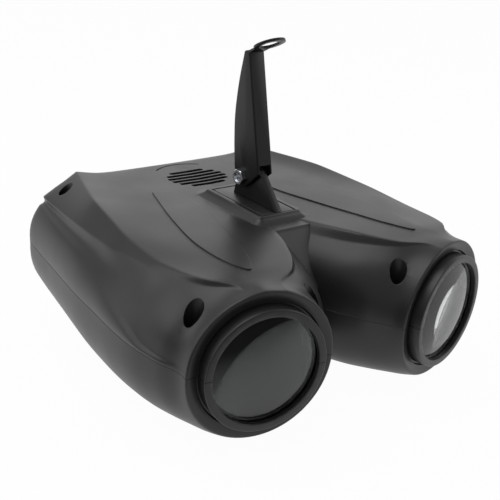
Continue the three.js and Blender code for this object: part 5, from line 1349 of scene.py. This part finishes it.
# What each head holds: the piece's name, what makes it, its slot and the node it stands for
HEAD_PIECES = [
    ("glass", lens, "lens_glass", "lens"),
    ("retainer", lens_ring, "black_plastic", "lens_ring"),
    ("lenslets", lens_array, "clear_lens", "lens_array"),
    ("leds", led_board, "led_board", "led_board"),
]
KEPT = {  # for each slot, how the names of the nodes begin that keep their shape
    "black_plastic": (
        "pivot_spacer", "fan_", "mains_inlet", "power_switch", "power_rocker", "mode_",
        "microphone", "board_bracket", "board_standoff",
    ),
    "black_paint": ("rear_panel",),
    "circuit_board": ("control_board", "power_board"),
    "red_light": ("status_led",),
    "zinc": ("bracket_nut", "sensitivity_dial"),
}


def build():
    for label, shell in zip(("upper", "lower"), shells()):
        add(f"housing_{label}", shell, "housing_plastic", [f"{label}_shell"])
    for label, side in SIDES.items():
        for name, make, slot, stands_for in HEAD_PIECES:
            add(f"{name}_{label}", on_head(make(), side), slot, [f"{stands_for}_{label}"])
    pivot = Matrix.Translation(PIVOT)
    lean = pivot @ Matrix.Rotation(-ARM_LEAN, 4, "X")
    add("arm", moved(hanger_arm(), lean), "black_paint", ["hanger_arm"], "arm")
    add("bracket_fin", bracket_fin(), "black_paint", ["pivot_bracket"])
    add("bracket_plate", bracket_plate(), "housing_plastic", ["pivot_bracket"])
    add("bolt", moved(pivot_bolt(), pivot), "zinc", ["pivot_bolt"])
    add("nut", moved(pivot_nut(), pivot), "zinc", ["pivot_nut"])
    for i, (x, y, _) in enumerate(screw_places(), 1):
        screw = shifted(cross_screw(*SCREW_HEAD, SCREW_RADIUS, SCREW_LENGTH), x, y, RECESS_FLOOR)
        add(f"case_screw_{i}", screw, "black_steel", [f"housing_screw_{i}"])
    for i, (x, z) in enumerate(corners_of(PANEL_SCREW_X, PANEL_SCREW_Z), 1):
        screw = at_panel(moved(cross_screw(*PANEL_SCREW), Z_TO_Y), x, z)
        add(f"plate_screw_{i}", screw, "black_steel", [f"panel_screw_{i}"])
    knob = at_panel(sensitivity_knob(), KNOB_X)
    add("fuse_cap", at_panel(fuse_holder(), FUSE_X), "black_plastic", ["fuse_holder"])
    add("knob_cap", knob, "black_plastic", ["sensitivity_knob"], "knob")
    for x, y, name in foot_places():
        add(f"{name}_pad", shifted(foot(), x, y, FOOT_SEAT), "rubber", [name])


# Studio: how much of the floor's look is plain white, to the camera and to shiny surfaces, and
# the side towards which it dims to them; the surroundings' bright side, the range over which
# they brighten towards it, and both levels
FLOOR_SIZE = 12  # metres from its middle to its edges
FLOOR_COLOUR = (0.85, 0.85, 0.85, 1)
FLOOR_ROUGHNESS = 0.9
WHITE = (1, 1, 1, 1)
FLOOR_WHITE_SHARE = 0.97
FLOOR_MIRRORED_SHARE = 0.76
FLOOR_DIM_SIDE = (-0.65, -0.76, 0)
FLOOR_BRIGHT_TO_DIM = (0.18, 0.42)  # metres towards the dim side
BRIGHT_SIDE = (0.6, 0.8, 0.05)
DIM_TO_BRIGHT = (0.45, 1)
LEVELS = (0.36, 1.15)
LAMPS = {  # place, what it is aimed at, width and height in metres, and power
    "left": ((-1.15, 0.66, 0.7), (-0.1, 0, 0.08), (0.7, 1), 3.6),
    "overhead": ((-0.45, 0.25, 1.5), (0, 0.05, 0.08), (1.3, 1.1), 9),
    "right": ((1.3, -0.7, 0.8), (0.1, -0.1, 0.07), (1, 0.9), 4.2),
}


def toward(tree, place, side, before, after):
    """A level that changes smoothly from one value to another towards a side."""
    reach = node(tree, "VectorMath", {0: place, 1: side}, operation="DOT_PRODUCT")
    return mapped(tree, reach.outputs["Value"], before, after, interpolation_type="SMOOTHSTEP")


def combination(tree, operation, first, second):
    """The result of a sum on two values, each a socket or a number."""
    return node(tree, "Math", {0: first, 1: second}, operation=operation).outputs[0]


def mixed(tree, share, first, second, end):
    """Two shaders, mixed by a share and led to the tree's end."""
    mix = node(tree, "MixShader", {"Fac": share, 1: first.outputs[0], 2: second.outputs[0]})
    fill(tree, tree.nodes[end], {"Surface": mix.outputs["Shader"]})


def floor():
    """A floor that keeps the object's shadow, and looks white to the camera, metal and glass."""
    corners = [(x, y, 0) for x, y in corners_of(FLOOR_SIZE, FLOOR_SIZE)]
    mesh = bpy.data.meshes.new("floor")
    mesh.from_pydata(corners, [], [(0, 2, 3, 1)])
    o = linked("floor", mesh)
    made, tree, surface = shader("white_floor")
    fill(tree, surface, {"Base Color": FLOOR_COLOUR, "Roughness": FLOOR_ROUGHNESS})
    rays = node(tree, "LightPath").outputs
    mirrored = combination(tree, "MAXIMUM", rays["Is Glossy Ray"], rays["Is Transmission Ray"])
    mirrored = combination(tree, "MULTIPLY", mirrored, FLOOR_MIRRORED_SHARE)
    seen = combination(tree, "MULTIPLY", rays["Is Camera Ray"], FLOOR_WHITE_SHARE)
    place = node(tree, "NewGeometry").outputs["Position"]
    fade = toward(tree, place, FLOOR_DIM_SIDE, FLOOR_BRIGHT_TO_DIM, (1, 0))
    strength = combination(tree, "MAXIMUM", rays["Is Camera Ray"], fade)
    white = node(tree, "Emission", {"Strength": strength})
    share = combination(tree, "MAXIMUM", seen, mirrored)
    mixed(tree, share, surface, white, "Material Output")
    mesh.materials.append(made)


def surroundings():
    """A plain studio: bright low behind the object, dim on the side it is looked at from."""
    world = bpy.data.worlds.new("studio")
    world.use_nodes = True
    bpy.context.scene.world = world
    tree = world.node_tree
    light = tree.nodes["Background"]
    place = node(tree, "TexCoord").outputs["Generated"]
    fill(tree, light, {"Color": toward(tree, place, BRIGHT_SIDE, DIM_TO_BRIGHT, LEVELS)})
    white = node(tree, "Background", {"Color": WHITE})
    mixed(tree, node(tree, "LightPath").outputs["Is Camera Ray"], light, white, "World Output")


def lamps():
    for name, (place, aim, size, power) in LAMPS.items():
        data = bpy.data.lights.new(name, "AREA")
        data.shape = "RECTANGLE"
        data.size, data.size_y = size
        data.energy = power
        lamp = linked(name, data)
        lamp.location = place
        lamp.rotation_euler = (Vector(aim) - Vector(place)).to_track_quat("-Z", "Y").to_euler()


def rotated(first, second, angle):
    """Two axes that are square to each other, turned from the first towards the second."""
    return (
        first * math.cos(angle) + second * math.sin(angle),
        second * math.cos(angle) - first * math.sin(angle),
    )


def camera():
    """The camera where it was fitted: its bearing and dip, then its aim and roll."""
    data = bpy.data.cameras.new("camera")
    data.sensor_width = SENSOR
    data.lens = CAMERA_FOCUS * SENSOR / IMAGE_SIZE
    back = Vector((
        math.sin(CAMERA_BEARING) * math.cos(CAMERA_DIP),
        -math.cos(CAMERA_BEARING) * math.cos(CAMERA_DIP),
        math.sin(CAMERA_DIP),
    ))
    ahead = -back
    right = ahead.cross(Vector((0, 0, 1))).normalized()
    up = right.cross(ahead)
    yaw = math.atan(CAMERA_AIM[0] / CAMERA_FOCUS)
    ahead, right = rotated(ahead, right, -yaw)
    pitch = math.atan(-CAMERA_AIM[1] / CAMERA_FOCUS * math.cos(yaw))
    ahead, up = rotated(ahead, up, -pitch)
    right, up = rotated(right, up, CAMERA_ROLL)
    o = linked("camera", data)
    turn = Matrix((right, up, -ahead)).transposed().to_4x4()
    o.matrix_world = Matrix.Translation(CAMERA_AT * MM) @ turn
    bpy.context.scene.camera = o


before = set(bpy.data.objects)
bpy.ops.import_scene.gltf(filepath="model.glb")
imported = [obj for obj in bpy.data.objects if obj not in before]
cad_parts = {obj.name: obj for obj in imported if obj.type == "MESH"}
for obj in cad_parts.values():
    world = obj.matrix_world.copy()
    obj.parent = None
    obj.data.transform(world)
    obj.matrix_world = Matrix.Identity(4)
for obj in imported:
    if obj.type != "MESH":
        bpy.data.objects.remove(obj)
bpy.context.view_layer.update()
camera()
build()
for name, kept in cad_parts.items():
    for slot, beginnings in KEPT.items():
        if name.startswith(beginnings):
            dress(kept, slot)
floor()
surroundings()
lamps()
bpy.context.scene.view_settings.view_transform = "Standard"
